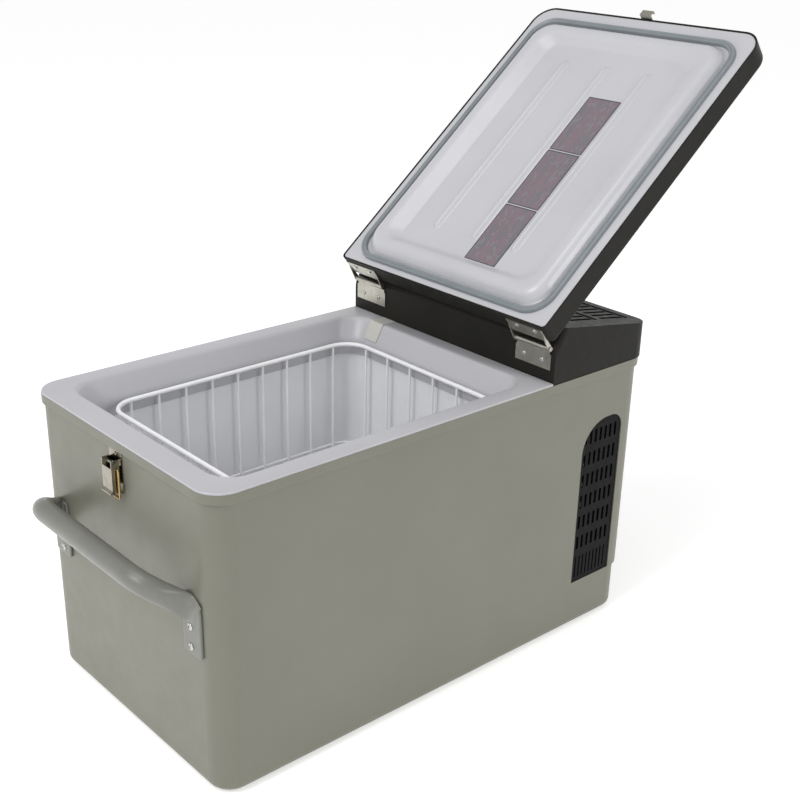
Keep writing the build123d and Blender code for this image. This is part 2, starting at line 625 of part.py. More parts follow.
with BuildPart() as fuse_holder:
    with Locations((X1 - 12, 0, CTRL_MID)):
        Cylinder(6, 30, rotation=(0, 90, 0))
    with BuildSketch(Plane.YZ.offset(CTRL_FACE + 0.05)):
        with Locations((0, CTRL_MID)):
            Circle(8)
            with PolarLocations(8.2, 14):
                Circle(0.8, mode=Mode.SUBTRACT)
    extrude(amount=8)
finish(fuse_holder.part, "fuse_holder")

INLET_FRONT = CTRL_FACE + 1.5
INLET_BACK = X1 - 20
INLET_DEPTH = 14.0
inlets = (
    ("mains_inlet", MAINS_Y, 28, 21, 12, (-4.3, 4.3), 0),
    ("battery_inlet", BATTERY_Y, 24, 17, 12, (0,), 3.2),
)
for inlet_name, inlet_y, width, mouth_w, mouth_h, pin_ys, pin_z in inlets:
    with BuildPart() as inlet:
        with BuildSketch(Plane.YZ.offset(INLET_BACK)):
            with Locations((inlet_y, CTRL_MID)):
                Rectangle(width, 20)
        extrude(amount=INLET_FRONT - INLET_BACK)
        with BuildSketch(Plane.YZ.offset(INLET_FRONT - INLET_DEPTH)):
            with Locations((inlet_y, CTRL_MID)):
                RectangleRounded(mouth_w, mouth_h, 3)
        extrude(amount=INLET_DEPTH, mode=Mode.SUBTRACT)
        with BuildSketch(Plane.YZ.offset(INLET_FRONT - INLET_DEPTH - 1)):
            for pin_y in pin_ys:
                with Locations((inlet_y + pin_y, CTRL_MID - pin_z), (inlet_y + pin_y, CTRL_MID + pin_z)):
                    Circle(1.2)
        extrude(amount=INLET_DEPTH - 2)
    finish(inlet.part, inlet_name)

REAR_SCREWS = [(y, z) for y in (-REAR_HOLE_Y - 2.8, REAR_HOLE_Y + 2.8) for z in (92, 273)]
CTRL_SCREWS = [(y, z) for y in (-79.5, 79.5) for z in (303.5, 336.5)]
with BuildPart() as rear_screws:
    with BuildSketch(Plane.YZ.offset(X1 + 1.3)):
        with Locations(*REAR_SCREWS):
            Circle(2.6)
    extrude(amount=1.6)
    with BuildSketch(Plane.YZ.offset(CTRL_FACE + 0.05)):
        with Locations(*CTRL_SCREWS):
            Circle(2.6)
    extrude(amount=1.6)
    fillet(rear_screws.faces().filter_by(Axis.X).group_by(Axis.X)[-1].edges(), 1.0)
finish(rear_screws.part, "rear_screws")

# ---- carrying handles ---------------------------------------------------------------
TUBE_R = 12.5
GRIP_X = 42.0           # how far the grip's middle stands off the end face
GRIP_Z = 250.0
GRIP_Y = 102.0
PLATE_T = 3.5
PLATE_Y = (120.5, 153.0)
PLATE_Z = (165.0, 235.0)
END_Z = 221.0
END_Y = 139.0
HANDLE_SCREWS = ((135.0, 198.0), (135.0, 174.0))


def handle(face_x, out, name):
    """A carrying handle on an end face; out is the direction that it stands out in."""
    with BuildPart() as grip:
        with BuildLine() as route:
            FilletPolyline(
                (face_x, -END_Y, END_Z),
                (face_x + out * GRIP_X, -GRIP_Y, GRIP_Z),
                (face_x + out * GRIP_X, GRIP_Y, GRIP_Z),
                (face_x, END_Y, END_Z),
                radius=26,
            )
        with BuildSketch(Plane(origin=route.line @ 0, z_dir=route.line % 0)):
            Circle(TUBE_R)
        sweep()
        with Locations((face_x - out * 20, 0, GRIP_Z)):
            Box(40, BODY_W, 200, mode=Mode.SUBTRACT)
        for side in (-1, 1):
            with BuildSketch(Plane.YZ.offset(face_x)) as plate:
                with Locations((side * sum(PLATE_Y) / 2, sum(PLATE_Z) / 2)):
                    Rectangle(PLATE_Y[1] - PLATE_Y[0], PLATE_Z[1] - PLATE_Z[0])
                outer_top = plate.vertices().group_by(Axis.Y)[-1].sort_by(Axis.X)[0 if side < 0 else -1]
                fillet(outer_top, 20)
            extrude(amount=out * PLATE_T)
    finish(grip.part, name)


handle(X0 - 0.05, -1, "handle_front")
handle(X1 + 0.05, 1, "handle_rear")

with BuildPart() as handle_screws:
    for face_x, out in ((X0 - 0.05 - PLATE_T - 0.05, -1), (X1 + 0.05 + PLATE_T + 0.05, 1)):
        with BuildSketch(Plane.YZ.offset(face_x)):
            for side in (-1, 1):
                with Locations(*((side * y, z) for y, z in HANDLE_SCREWS)):
                    Circle(4.2)
        extrude(amount=out * 2.2)
finish(handle_screws.part, "handle_screws")

# ---- basket -------------------------------------------------------------------------
RING_R = 2.8
ROD_R = 1.6
RING_X = (-252.0, 108.0)
RING_Y = 139.0
RING_Z = 331.0
RING_CORNER = 32.0
BASKET_Z = TANK_Z + ROD_R + 0.3
BASKET_MID_Z = 190.0
BASKET_BEND = 16.0
LONG_RODS = 6
CROSS_RODS = 9
with BuildPart() as basket:
    rings = ((RING_Z, RING_R, 0), (BASKET_MID_Z, ROD_R, RING_R - ROD_R))
    for ring_z, ring_r, shift in rings:
        low_x = RING_X[0] - shift
        high_x = RING_X[1] + shift
        side_y = RING_Y + shift
        with BuildLine() as ring:
            FilletPolyline(
                (low_x, -side_y, ring_z),
                (high_x, -side_y, ring_z),
                (high_x, side_y, ring_z),
                (low_x, side_y, ring_z),
                close=True,
                radius=RING_CORNER,
            )
        with BuildSketch(Plane(origin=ring.line @ 0, z_dir=ring.line % 0)):
            Circle(ring_r)
        sweep()
    for index in range(LONG_RODS):
        rod_y = (index - (LONG_RODS - 1) / 2) * 43.0
        with BuildLine() as rod:
            FilletPolyline(
                (RING_X[0], rod_y, RING_Z),
                (RING_X[0], rod_y, BASKET_Z),
                (RING_X[1], rod_y, BASKET_Z),
                (RING_X[1], rod_y, RING_Z),
                radius=BASKET_BEND,
            )
        with BuildSketch(Plane(origin=rod.line @ 0, z_dir=rod.line % 0)):
            Circle(ROD_R)
        sweep()
    for index in range(CROSS_RODS):
        rod_x = sum(RING_X) / 2 + (index - (CROSS_RODS - 1) / 2) * 37.5
        with BuildLine() as rod:
            FilletPolyline(
                (rod_x, -RING_Y, RING_Z),
                (rod_x, -RING_Y, BASKET_Z + 2.4),
                (rod_x, RING_Y, BASKET_Z + 2.4),
                (rod_x, RING_Y, RING_Z),
                radius=BASKET_BEND,
            )
        with BuildSketch(Plane(origin=rod.line @ 0, z_dir=rod.line % 0)):
            Circle(ROD_R)
        sweep()
finish(basket.part, "basket")

# ---- lid, drawn in its own plane ----------------------------------------------------
LID_WALL = 2.2
LID_FRONT_R = 28.0
LID_REAR_R = 7.0
LIP = 0.6               # the shell's lip stands this far past the flange face
LID_MID_N = LID_N[0] + LID_WALL


def lid_outline(sketch, u0, u1, half_y, front_r, rear_r):
    """A rectangle with larger corners at the latch end, in the given sketch."""
    with Locations(((u0 + u1) / 2, 0)):
        Rectangle(u1 - u0, 2 * half_y)
    fillet(sketch.vertices().group_by(Axis.X)[-1], front_r)
    fillet(sketch.vertices().group_by(Axis.X)[0], rear_r)


with BuildPart() as lid_shell:
    with BuildSketch(LID.offset(LID_N[0])) as shell_sketch:
        lid_outline(shell_sketch, LID_U[0], LID_U[1], LID_Y, LID_FRONT_R, LID_REAR_R)
    extrude(amount=LID_N[1] + LIP - LID_N[0])
    outer_face = lid_shell.faces().filter_by(LID).sort_by(Axis(LID.origin, LID.z_dir))[0]
    fillet(outer_face.edges(), 4)
    with BuildSketch(LID.offset(LID_MID_N)) as shell_space:
        lid_outline(shell_space, LID_U[0] + LID_WALL, LID_U[1] - LID_WALL, LID_Y - LID_WALL,
                    LID_FRONT_R - LID_WALL, LID_REAR_R - LID_WALL)
    extrude(amount=LID_N[1], mode=Mode.SUBTRACT)
finish(lid_shell.part, "lid_shell")

LINER_T = 2.0
LINER_GAP = 2.5
RING_FOOT = (23.0, 440.0, 156.5, 30.0)      # u0, u1, half width, corner radius
RING_CREST = (32.0, 431.0, 148.0, 26.0)
DISH_CREST = (45.0, 419.0, 135.0, 24.0)
DISH_FLOOR = (56.0, 407.0, 114.0, 18.0)
CREST_N = LID_N[1] + 13.0
FLOOR_N = LID_N[1] + 3.0
RIB_U = (84.0, 381.0)
RIB_Y = (-68.0, 0.0, 68.0)
RIB_W = 9.0
RIB_H = 3.0


def ring_outline(spec, grow):
    """One level of the raised ring, grown by a margin."""
    u0, u1, half_y, radius = spec
    rounded(u0 - grow, u1 + grow, half_y + grow, radius + grow)


with BuildPart() as lid_liner:
    with BuildSketch(LID.offset(LID_N[1] - LINER_T)) as flange_sketch:
        lid_outline(flange_sketch, LID_U[0] + LINER_GAP, LID_U[1] - LINER_GAP, LID_Y - LINER_GAP,
                    LID_FRONT_R - LINER_GAP, LID_REAR_R - LINER_GAP)
    extrude(amount=LINER_T)
    with BuildSketch(LID.offset(LID_N[1])):
        ring_outline(RING_FOOT, 0)
    with BuildSketch(LID.offset(CREST_N)):
        ring_outline(RING_CREST, 0)
    loft()
    with BuildSketch(LID.offset(CREST_N)):
        ring_outline(DISH_CREST, 0)
    with BuildSketch(LID.offset(FLOOR_N)):
        ring_outline(DISH_FLOOR, 0)
    loft(mode=Mode.SUBTRACT)
    with BuildSketch(LID.offset(FLOOR_N)):
        with Locations(*((sum(RIB_U) / 2, y) for y in RIB_Y)):
            SlotOverall(RIB_U[1] - RIB_U[0], RIB_W)
    extrude(amount=RIB_H, taper=30)
finish(lid_liner.part, "lid_liner")

GASKET_OUT = (13.0, 450.3, 167.0, 34.0)
GASKET_IN = (21.5, 441.8, 158.5, 25.5)
with BuildPart() as lid_gasket:
    with BuildSketch(LID.offset(LID_N[1])):
        ring_outline(GASKET_OUT, 0)
        with BuildSketch(mode=Mode.SUBTRACT):
            ring_outline(GASKET_IN, 0)
    extrude(amount=GASKET_H)
    seal_face = lid_gasket.faces().filter_by(LID).sort_by(Axis(LID.origin, LID.z_dir))[-1]
    fillet(seal_face.edges(), 2.5)
finish(lid_gasket.part, "lid_gasket")

LABEL_L = 90.0
LABEL_W = 52.0
LABEL_U = (102.0, 193.5, 285.0)
LABEL_Y = -34.0
LABEL_T = 0.2
with BuildPart() as lid_labels:
    with BuildSketch(LID.offset(FLOOR_N + 0.05)):
        with Locations(*((u, LABEL_Y) for u in LABEL_U)):
            RectangleRounded(LABEL_L, LABEL_W, 1.5)
    extrude(amount=LABEL_T)
finish(lid_labels.part, "lid_labels")

with BuildPart() as lid_foam:
    foam_in = LID_WALL + CLEAR
    with BuildSketch(LID.offset(LID_MID_N + CLEAR)) as foam_sketch:
        lid_outline(foam_sketch, LID_U[0] + foam_in, LID_U[1] - foam_in, LID_Y - foam_in,
                    LID_FRONT_R - foam_in, LID_REAR_R - foam_in)
    extrude(amount=LID_N[1] - LINER_T - LID_MID_N - 2 * CLEAR)
finish(lid_foam.part, "lid_foam")

STRIKE_T = 1.2
STRIKE_W = 18.0
strike_u = LID_U[1] + 0.02
with BuildPart() as lid_strike:
    with BuildSketch(LID_SIDE):
        with BuildLine():
            Polyline(
                (strike_u, 20),
                (strike_u, 43.5),
                (strike_u + 8.2, 43.5),
                (strike_u + 8.2, 39.5),
                (strike_u + 7.0, 39.5),
                (strike_u + 7.0, 42.3),
                (strike_u + STRIKE_T, 42.3),
                (strike_u + STRIKE_T, 20),
                close=True,
            )
        make_face()
    extrude(amount=STRIKE_W / 2, both=True)
finish(lid_strike.part, "lid_strike")

LID_END = Plane(origin=LID.origin, x_dir=(0, 1, 0), z_dir=LID.x_dir)
with BuildPart() as strike_screws:
    with BuildSketch(LID_END.offset(strike_u + STRIKE_T + 0.02)):
        with Locations((-5, 26), (5, 26)):
            Circle(2.2)
    extrude(amount=1.2)
finish(strike_screws.part, "strike_screws")

# ---- hinges -------------------------------------------------------------------------
BARREL_R = 3.2
EAR_T = 1.6
LEAF_Z = (375.0, 394.0)
LEAF_X = 148.65
BRACKET_N = (11.0, 31.0)
BRACKET_U = (2.15, LID_U[0] - 0.03)
SCREW_Y = (133.0, 161.0)
knuckle_y = (HINGE_Y[0] + EAR_T + 0.4, HINGE_Y[1] - EAR_T - 0.4)

for side, side_name in ((-1, "right"), (1, "left")):
    centre_y = side * sum(HINGE_Y) / 2
    knuckle_half = (knuckle_y[1] - knuckle_y[0]) / 2
    leaf_half = (HINGE_Y[1] - HINGE_Y[0]) / 2
    side_plane = Plane(origin=(0, centre_y, 0), x_dir=(1, 0, 0), z_dir=(0, -1, 0))
    with BuildPart() as lower_leaf:
        with BuildSketch(side_plane):
            with Locations(((LEAF_X + HOOD_X) / 2, sum(LEAF_Z) / 2)):
                Rectangle(HOOD_X - LEAF_X - 0.05, LEAF_Z[1] - LEAF_Z[0])
        extrude(amount=leaf_half, both=True)
        with BuildSketch(side_plane):
            with Locations(((LEAF_X + HOOD_X) / 2 - 0.2, (LEAF_Z[1] + HINGE_Z) / 2)):
                Rectangle(1.0, HINGE_Z - LEAF_Z[1])
            with Locations((HINGE_X, HINGE_Z)):
                Circle(BARREL_R)
                Circle(PIN_R + RUN, mode=Mode.SUBTRACT)
        extrude(amount=knuckle_half, both=True)
    finish(lower_leaf.part, f"hinge_lower_{side_name}")

    bracket_plane = Plane(origin=LID.origin + Vector(0, centre_y, 0), x_dir=LID.x_dir, z_dir=(0, -1, 0))
    with BuildPart() as upper_bracket:
        with BuildSketch(bracket_plane):
            with Locations((sum(BRACKET_U) / 2, sum(BRACKET_N) / 2)):
                Rectangle(BRACKET_U[1] - BRACKET_U[0], BRACKET_N[1] - BRACKET_N[0])
        extrude(amount=leaf_half, both=True)
        for end in (-1, 1):
            ear_plane = bracket_plane.offset(end * (leaf_half - EAR_T / 2))
            with BuildSketch(ear_plane):
                with BuildLine():
                    CenterArc((0, 0), BARREL_R, 0, 360)
                    Polyline((BRACKET_U[0], BRACKET_N[0]), (BRACKET_U[1], BRACKET_N[0]),
                             (BRACKET_U[1], 24), (BRACKET_U[0], 24), close=True)
                make_hull()
                Circle(PIN_R + RUN, mode=Mode.SUBTRACT)
            extrude(amount=EAR_T / 2, both=True)
    finish(upper_bracket.part, f"hinge_upper_{side_name}")

with BuildPart() as hinge_pins:
    for side in (-1, 1):
        pin_plane = Plane(origin=(0, side * (HINGE_Y[0] - 0.3), 0), x_dir=(1, 0, 0), z_dir=(0, side, 0))
        with BuildSketch(pin_plane):
            with Locations((HINGE_X, side * -HINGE_Z)):
                Circle(PIN_R)
        extrude(amount=HINGE_Y[1] - HINGE_Y[0] + 0.7)
        with BuildSketch(pin_plane.offset(HINGE_Y[1] - HINGE_Y[0] + 0.6)):
            with Locations((HINGE_X, side * -HINGE_Z)):
                Circle(2.6)
        extrude(amount=1.2)
finish(hinge_pins.part, "hinge_pins")

with BuildPart() as hinge_screws_hood:
    with BuildSketch(Plane.YZ.offset(LEAF_X)):
        for side in (-1, 1):
            with Locations(*((side * y, sum(LEAF_Z) / 2) for y in SCREW_Y)):
                Circle(3.0)
    extrude(amount=-1.2)
finish(hinge_screws_hood.part, "hinge_screws_hood")

with BuildPart() as hinge_screws_lid:
    with BuildSketch(LID_END.offset(BRACKET_U[0] - 0.02)):
        for side in (-1, 1):
            with Locations(*((side * y, 24) for y in SCREW_Y)):
                Circle(3.0)
    extrude(amount=-1.2)
finish(hinge_screws_lid.part, "hinge_screws_lid")

# ---- toggle latch -------------------------------------------------------------------
BASE_Z = (299.0, 345.0)
BASE_T = 1.2
EAR_Y = (7.2, 8.4)
LEVER_Y = (8.8, 10.0)
LEVER_Z = (301.0, 337.3)
LEVER_X = (-332.4, -323.2)
LEVER_T = 1.2
LEVER_FACE_TOP = 329.5  # the lever's front wall stops here, so that it swings clear of the ears
EAR_Z = (330.5, 337.5)
latch_face = X0 - 0.05
with BuildPart() as latch_base:
    with BuildSketch(Plane.YZ.offset(latch_face)):
        with Locations((0, sum(BASE_Z) / 2)):
            RectangleRounded(26, BASE_Z[1] - BASE_Z[0], 3)
    extrude(amount=-BASE_T)
    for side in (-1, 1):
        with BuildSketch(Plane.XZ.offset(-side * sum(EAR_Y) / 2)):
            with BuildLine():
                CenterArc(LATCH_PIVOT, BARREL_R, 0, 360)
                Polyline((latch_face - 0.3, EAR_Z[0]), (latch_face - 1, EAR_Z[0]),
                         (latch_face - 1, EAR_Z[1]), (latch_face - 0.3, EAR_Z[1]), close=True)
            make_hull()
            with Locations(LATCH_PIVOT):
                Circle(PIN_R + 0.02, mode=Mode.SUBTRACT)
        extrude(amount=(EAR_Y[1] - EAR_Y[0]) / 2, both=True)
finish(latch_base.part, "latch_base")

with BuildPart() as latch_lever:
    with BuildSketch(Plane.XY.offset(LEVER_Z[0])):
        with Locations(((LEVER_X[0] + LEVER_X[1]) / 2, 0)):
            Rectangle(LEVER_X[1] - LEVER_X[0], 2 * LEVER_Y[1])
        with Locations((LEVER_X[1] / 2 + LEVER_X[0] / 2 + LEVER_T, 0)):
            Rectangle(LEVER_X[1] - LEVER_X[0], 2 * LEVER_Y[0], mode=Mode.SUBTRACT)
    extrude(amount=LEVER_Z[1] - LEVER_Z[0])
    with BuildSketch(Plane.XY.offset(LEVER_FACE_TOP)):
        with Locations((LEVER_X[0], 0)):
            Rectangle(4 * LEVER_T, 2 * LEVER_Y[0])
    extrude(amount=LEVER_Z[1] - LEVER_FACE_TOP, mode=Mode.SUBTRACT)
    with BuildSketch(Plane.XZ):
        with BuildLine():
            Polyline((LEVER_X[0] + LEVER_T, LEVER_Z[0]), (LEVER_X[0] - 2.6, LEVER_Z[0] - 0.8),
                     (LEVER_X[0] - 2.6, LEVER_Z[0] + 0.6), (LEVER_X[0], LEVER_Z[0] + 3),
                     (LEVER_X[0] + LEVER_T, LEVER_Z[0] + 3), close=True)
        make_face()
    extrude(amount=LEVER_Y[1], both=True)
    lever_pivots = ((LATCH_PIVOT, PIN_R + RUN), (BAIL_PIVOT, WIRE + RUN))
    with BuildSketch(Plane.XZ):
        for spot, hole_r in lever_pivots:
            with Locations(spot):
                Circle(hole_r)
    extrude(amount=2 * LEVER_Y[1], both=True, mode=Mode.SUBTRACT)
finish(latch_lever.part, "latch_lever")

with BuildPart() as latch_pin:
    with BuildSketch(Plane.XZ):
        with Locations(LATCH_PIVOT):
            Circle(PIN_R)
    extrude(amount=11.2, both=True)
    for side in (-1, 1):
        with BuildSketch(Plane.XZ.offset(-side * 10.4)):
            with Locations(LATCH_PIVOT):
                Circle(2.4)
        extrude(amount=-side * 0.9)
finish(latch_pin.part, "latch_pin")

with BuildPart() as latch_rivets:
    with BuildSketch(Plane.YZ.offset(latch_face - BASE_T - 0.02)):
        with Locations((0, 304.5), (0, 341.5)):
            Circle(2.4)
    extrude(amount=-1.1)
    fillet(latch_rivets.faces().group_by(Axis.X)[0].edges(), 0.8)
finish(latch_rivets.part, "latch_rivets")

BAIL_Y = 13.2
bail_z = BAIL_PIVOT[1] - BAIL_REACH
with BuildPart() as latch_bail:
    with BuildLine() as wire_route:
        FilletPolyline(
            (BAIL_PIVOT[0], LEVER_Y[0], BAIL_PIVOT[1]),
            (BAIL_PIVOT[0], BAIL_Y, BAIL_PIVOT[1]),
            (BAIL_PIVOT[0], BAIL_Y, bail_z),
            (BAIL_PIVOT[0], -BAIL_Y, bail_z),
            (BAIL_PIVOT[0], -BAIL_Y, BAIL_PIVOT[1]),
            (BAIL_PIVOT[0], -LEVER_Y[0], BAIL_PIVOT[1]),
            radius=1.8,
        )
    with BuildSketch(Plane(origin=wire_route.line @ 0, z_dir=wire_route.line % 0)):
        Circle(WIRE)
    sweep()
finish(latch_bail.part, "latch_bail")
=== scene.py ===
"""Looks of a portable compressor cooler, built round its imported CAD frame.

The sections follow the object as it is put together: floor, cabinet, tank, rim, machine
compartment, hood, rear controls, screws, handles, basket, lid, hinges and latch. Sizes are
metres, unless a comment says millimetres.
"""
import json
from math import cos, pi, radians, sin

import bmesh
import bpy
from mathutils import Matrix, Vector


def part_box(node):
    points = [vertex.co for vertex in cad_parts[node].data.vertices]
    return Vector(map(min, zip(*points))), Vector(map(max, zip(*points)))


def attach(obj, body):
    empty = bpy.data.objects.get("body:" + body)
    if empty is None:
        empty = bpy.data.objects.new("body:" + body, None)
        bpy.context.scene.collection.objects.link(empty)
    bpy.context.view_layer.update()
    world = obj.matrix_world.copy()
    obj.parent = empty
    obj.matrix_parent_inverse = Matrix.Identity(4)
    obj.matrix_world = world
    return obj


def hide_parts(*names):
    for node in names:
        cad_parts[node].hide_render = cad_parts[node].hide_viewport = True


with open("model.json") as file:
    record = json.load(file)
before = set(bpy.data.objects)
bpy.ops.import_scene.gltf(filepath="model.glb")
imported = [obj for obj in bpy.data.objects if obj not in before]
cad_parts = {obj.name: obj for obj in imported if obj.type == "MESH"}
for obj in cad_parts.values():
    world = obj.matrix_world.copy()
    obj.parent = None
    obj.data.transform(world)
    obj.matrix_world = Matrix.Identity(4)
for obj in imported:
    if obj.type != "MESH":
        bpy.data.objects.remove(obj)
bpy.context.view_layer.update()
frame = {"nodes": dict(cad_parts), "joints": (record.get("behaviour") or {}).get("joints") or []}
MM = 0.001
joints = {joint["name"]: joint for joint in frame["joints"]}

# ---- camera -------------------------------------------------------------------------
# The camera stands off the latch end, on the right-hand side, and looks down on the rim.
CAMERA_PLACE = Vector((-0.9056, -1.0994, 0.9086))
CAMERA_TURN = radians(-41.73)
CAMERA_RISE = radians(24.22)
CAMERA_ROLL = radians(1.37)
camera = bpy.data.objects.new("camera", bpy.data.cameras.new("camera"))
camera.data.lens = 57.83
camera.data.shift_y = 0.05
camera.data.clip_end = 60.0
camera_back = Vector((
    sin(CAMERA_TURN) * cos(CAMERA_RISE), -cos(CAMERA_TURN) * cos(CAMERA_RISE), sin(CAMERA_RISE)))
camera_turn = camera_back.to_track_quat("Z", "Y").to_matrix() @ Matrix.Rotation(CAMERA_ROLL, 3, "Z")
camera.matrix_world = Matrix.Translation(CAMERA_PLACE) @ camera_turn.to_4x4()
bpy.context.scene.collection.objects.link(camera)
bpy.context.scene.camera = camera


# ---- studio -------------------------------------------------------------------------
# A floor of white translucent sheet, lit a little from below as on a product table, in a
# white room that is brightest round its walls. Three soft boxes give shape: over the top,
# off the latch end, and off the right-hand side, high enough to rake across the lid's ribs.
def linear(colour):
    """An sRGB hex colour as the linear RGBA that shaders take."""
    parts = [int(colour[place:place + 2], 16) / 255 for place in (0, 2, 4)]
    return [part / 12.92 if part <= 0.04045 else ((part + 0.055) / 1.055) ** 2.4 for part in parts] + [1.0]


def add(tree, kind, sockets=None, **settings):
    """Adds a node with its settings; each of its sockets takes a value or another node's output."""
    node = tree.nodes.new(kind)
    for name, value in settings.items():
        setattr(node, name, value)
    for key, value in (sockets or {}).items():
        if isinstance(value, bpy.types.NodeSocket):
            tree.links.new(value, node.inputs[key])
        else:
            node.inputs[key].default_value = value
    return node


def new_material(name):
    """An empty node material, its tree and its output node."""
    material = bpy.data.materials.new(name)
    material.use_nodes = True
    tree = material.node_tree
    tree.nodes.clear()
    return material, tree, add(tree, "ShaderNodeOutputMaterial")


FLOOR_HALF = 20.0
floor = bpy.data.objects.new("floor", bpy.data.meshes.new("floor"))
corners = [(-FLOOR_HALF, -FLOOR_HALF, 0), (FLOOR_HALF, -FLOOR_HALF, 0),
           (FLOOR_HALF, FLOOR_HALF, 0), (-FLOOR_HALF, FLOOR_HALF, 0)]
floor.data.from_pydata(corners, [], [(0, 1, 2, 3)])
bpy.context.scene.collection.objects.link(floor)
paper, paper_tree, paper_out = new_material("studio_paper")
paper_grain = add(paper_tree, "ShaderNodeTexNoise", {"Scale": 900.0, "Detail": 3.0})
paper_bump = add(paper_tree, "ShaderNodeBump", {"Height": paper_grain.outputs["Fac"], "Distance": 0.0001})
paper_shader = add(paper_tree, "ShaderNodeBsdfPrincipled", {
    "Base Color": linear("FDFDFD"), "Roughness": 0.9,
    "Emission Color": linear("FFFFFF"), "Emission Strength": 0.4, "Normal": paper_bump.outputs["Normal"]})
paper_tree.links.new(paper_shader.outputs["BSDF"], paper_out.inputs["Surface"])
floor.data.materials.append(paper)

SOFT_BOXES = (
    # place, aimed at, side, watts
    ((-0.6, 0.1, 2.3), (0.1, 0.0, 0.3), 1.2, 11.0),
    ((-2.0, -0.1, 2.0), (0.1, 0.0, 0.45), 1.0, 22.0),
    ((0.5, -2.2, 1.5), (0.2, 0.0, 0.4), 0.8, 11.0),
)
for place, aim, side, watts in SOFT_BOXES:
    lamp = bpy.data.objects.new("soft_box", bpy.data.lights.new("soft_box", "AREA"))
    lamp.data.size = side
    lamp.data.energy = watts
    lamp.location = place
    lamp.rotation_euler = (Vector(aim) - Vector(place)).to_track_quat("-Z", "Y").to_euler()
    bpy.context.scene.collection.objects.link(lamp)
room = bpy.data.worlds.new("room")
room.use_nodes = True
room.node_tree.nodes["Background"].inputs["Color"].default_value = linear("FFFFFF")
room_place = add(room.node_tree, "ShaderNodeTexCoord").outputs["Generated"]
room_height = add(room.node_tree, "ShaderNodeSeparateXYZ", {"Vector": room_place}).outputs["Z"]
room_light = add(room.node_tree, "ShaderNodeMapRange", {
    "Value": room_height, "From Min": 0.15, "From Max": 0.6, "To Min": 1.0, "To Max": 0.5})
room.node_tree.links.new(room_light.outputs["Result"], room.node_tree.nodes["Background"].inputs["Strength"])
bpy.context.scene.world = room
bpy.context.scene.view_settings.view_transform = "Standard"


# ---- base pan and feet --------------------------------------------------------------
# The floor of the cabinet is a pressed steel pan, primed grey, spot welded inside the wrap.
# Four black rubber feet push through it from below and hold by their necks.
def speckle(tree, size_mm, stretch=(1, 1, 1), detail=2.0, rough=0.5):
    """Noise in the piece's own space whose blobs are about size_mm across."""
    place = add(tree, "ShaderNodeTexCoord").outputs["Object"]
    scaled = add(tree, "ShaderNodeMapping", {"Vector": place, "Scale": stretch})
    noise = add(tree, "ShaderNodeTexNoise", {
        "Vector": scaled.outputs["Vector"], "Scale": 1 / (size_mm * MM),
        "Detail": detail, "Roughness": rough})
    return noise.outputs["Fac"]


# Noise seldom leaves this middle part of its range, which is stretched to the whole of it.
NOISE_MIDDLE = {"From Min": 0.3, "From Max": 0.7}


def surface(name, colours, gloss, grain, drift_mm=70, shader=None, stretch=(1, 1, 1)):
    """A solid finish: two close colours that drift, a roughness range, and a (size mm, depth mm) grain."""
    material, tree, output = new_material(name)
    drift = speckle(tree, drift_mm, detail=3.0)
    rub = speckle(tree, drift_mm / 5, stretch, detail=4.0, rough=0.6)
    relief = speckle(tree, grain[0], stretch, detail=2.0)
    shade = add(tree, "ShaderNodeMapRange", {"Value": drift, **NOISE_MIDDLE})
    tone = add(tree, "ShaderNodeMix", {
        "Factor": shade.outputs["Result"], "A": linear(colours[0]), "B": linear(colours[1])},
        data_type="RGBA")
    sheen = add(tree, "ShaderNodeMapRange", {
        "Value": rub, **NOISE_MIDDLE, "To Min": gloss[0], "To Max": gloss[1]})
    bump = add(tree, "ShaderNodeBump", {"Height": relief, "Distance": grain[1] * MM, "Strength": 1.0})
    bsdf = add(tree, "ShaderNodeBsdfPrincipled", {
        "Base Color": tone.outputs["Result"],
        "Roughness": sheen.outputs["Result"],
        "Normal": bump.outputs["Normal"],
        **(shader or {}),
    })
    tree.links.new(bsdf.outputs["BSDF"], output.inputs["Surface"])
    return material


def dress(material, *names):
    """Gives CAD nodes their finish."""
    for name in names:
        slots = frame["nodes"][name].data.materials
        slots.clear()
        slots.append(material)


# Grey zinc primer on pressed steel: dull, with the faint cloudiness of a dipped coat.
primed_steel = surface("zinc_primed_steel", ("5E605E", "6A6C6A"), (0.42, 0.58), (2.2, 0.04),
                       shader={"Metallic": 0.55})
# EPDM rubber: nearly black, dull, with a bloom of fine grey.
black_rubber = surface("moulded_epdm_rubber", ("141414", "1E1E1E"), (0.62, 0.78), (0.8, 0.03), drift_mm=14)
dress(primed_steel, "base_pan")
dress(black_rubber, "feet")

# ---- cabinet wrap and collar --------------------------------------------------------
# The wrap is 1 mm steel sheet, bent round the corners and powder coated khaki grey.
# A second band of the same sheet hems its top edge, under the white rim.
# The coat is satin, with the shallow orange peel that baked powder leaves.
khaki_powder = surface("satin_powder_coated_steel", ("6F6E62", "737266"), (0.36, 0.46), (1.7, 0.028),
                       drift_mm=120, shader={"Specular IOR Level": 0.5})
dress(khaki_powder, "outer_cabinet", "collar_band")

# ---- insulation and evaporator ------------------------------------------------------
# Polyurethane foam fills the space between wrap and tank, round the evaporator tube that
# is wound on the tank's outside. Neither shows once the rim is on.
# Rigid foam: cream coloured, matt, full of closed cells about a millimetre across.
rigid_foam = surface("rigid_polyurethane_foam", ("D9CC9A", "CDBE88"), (0.85, 0.95), (1.6, 0.35), drift_mm=30)
# Roll-formed aluminium tube: bright and slightly streaked along its length.
rolled_aluminium = surface("roll_formed_aluminium", ("C9CACB", "B9BBBD"), (0.28, 0.42), (0.7, 0.01),
                           drift_mm=25, shader={"Metallic": 1.0})
dress(rigid_foam, "insulation_foam", "lid_foam")
dress(rolled_aluminium, "evaporator_coil")

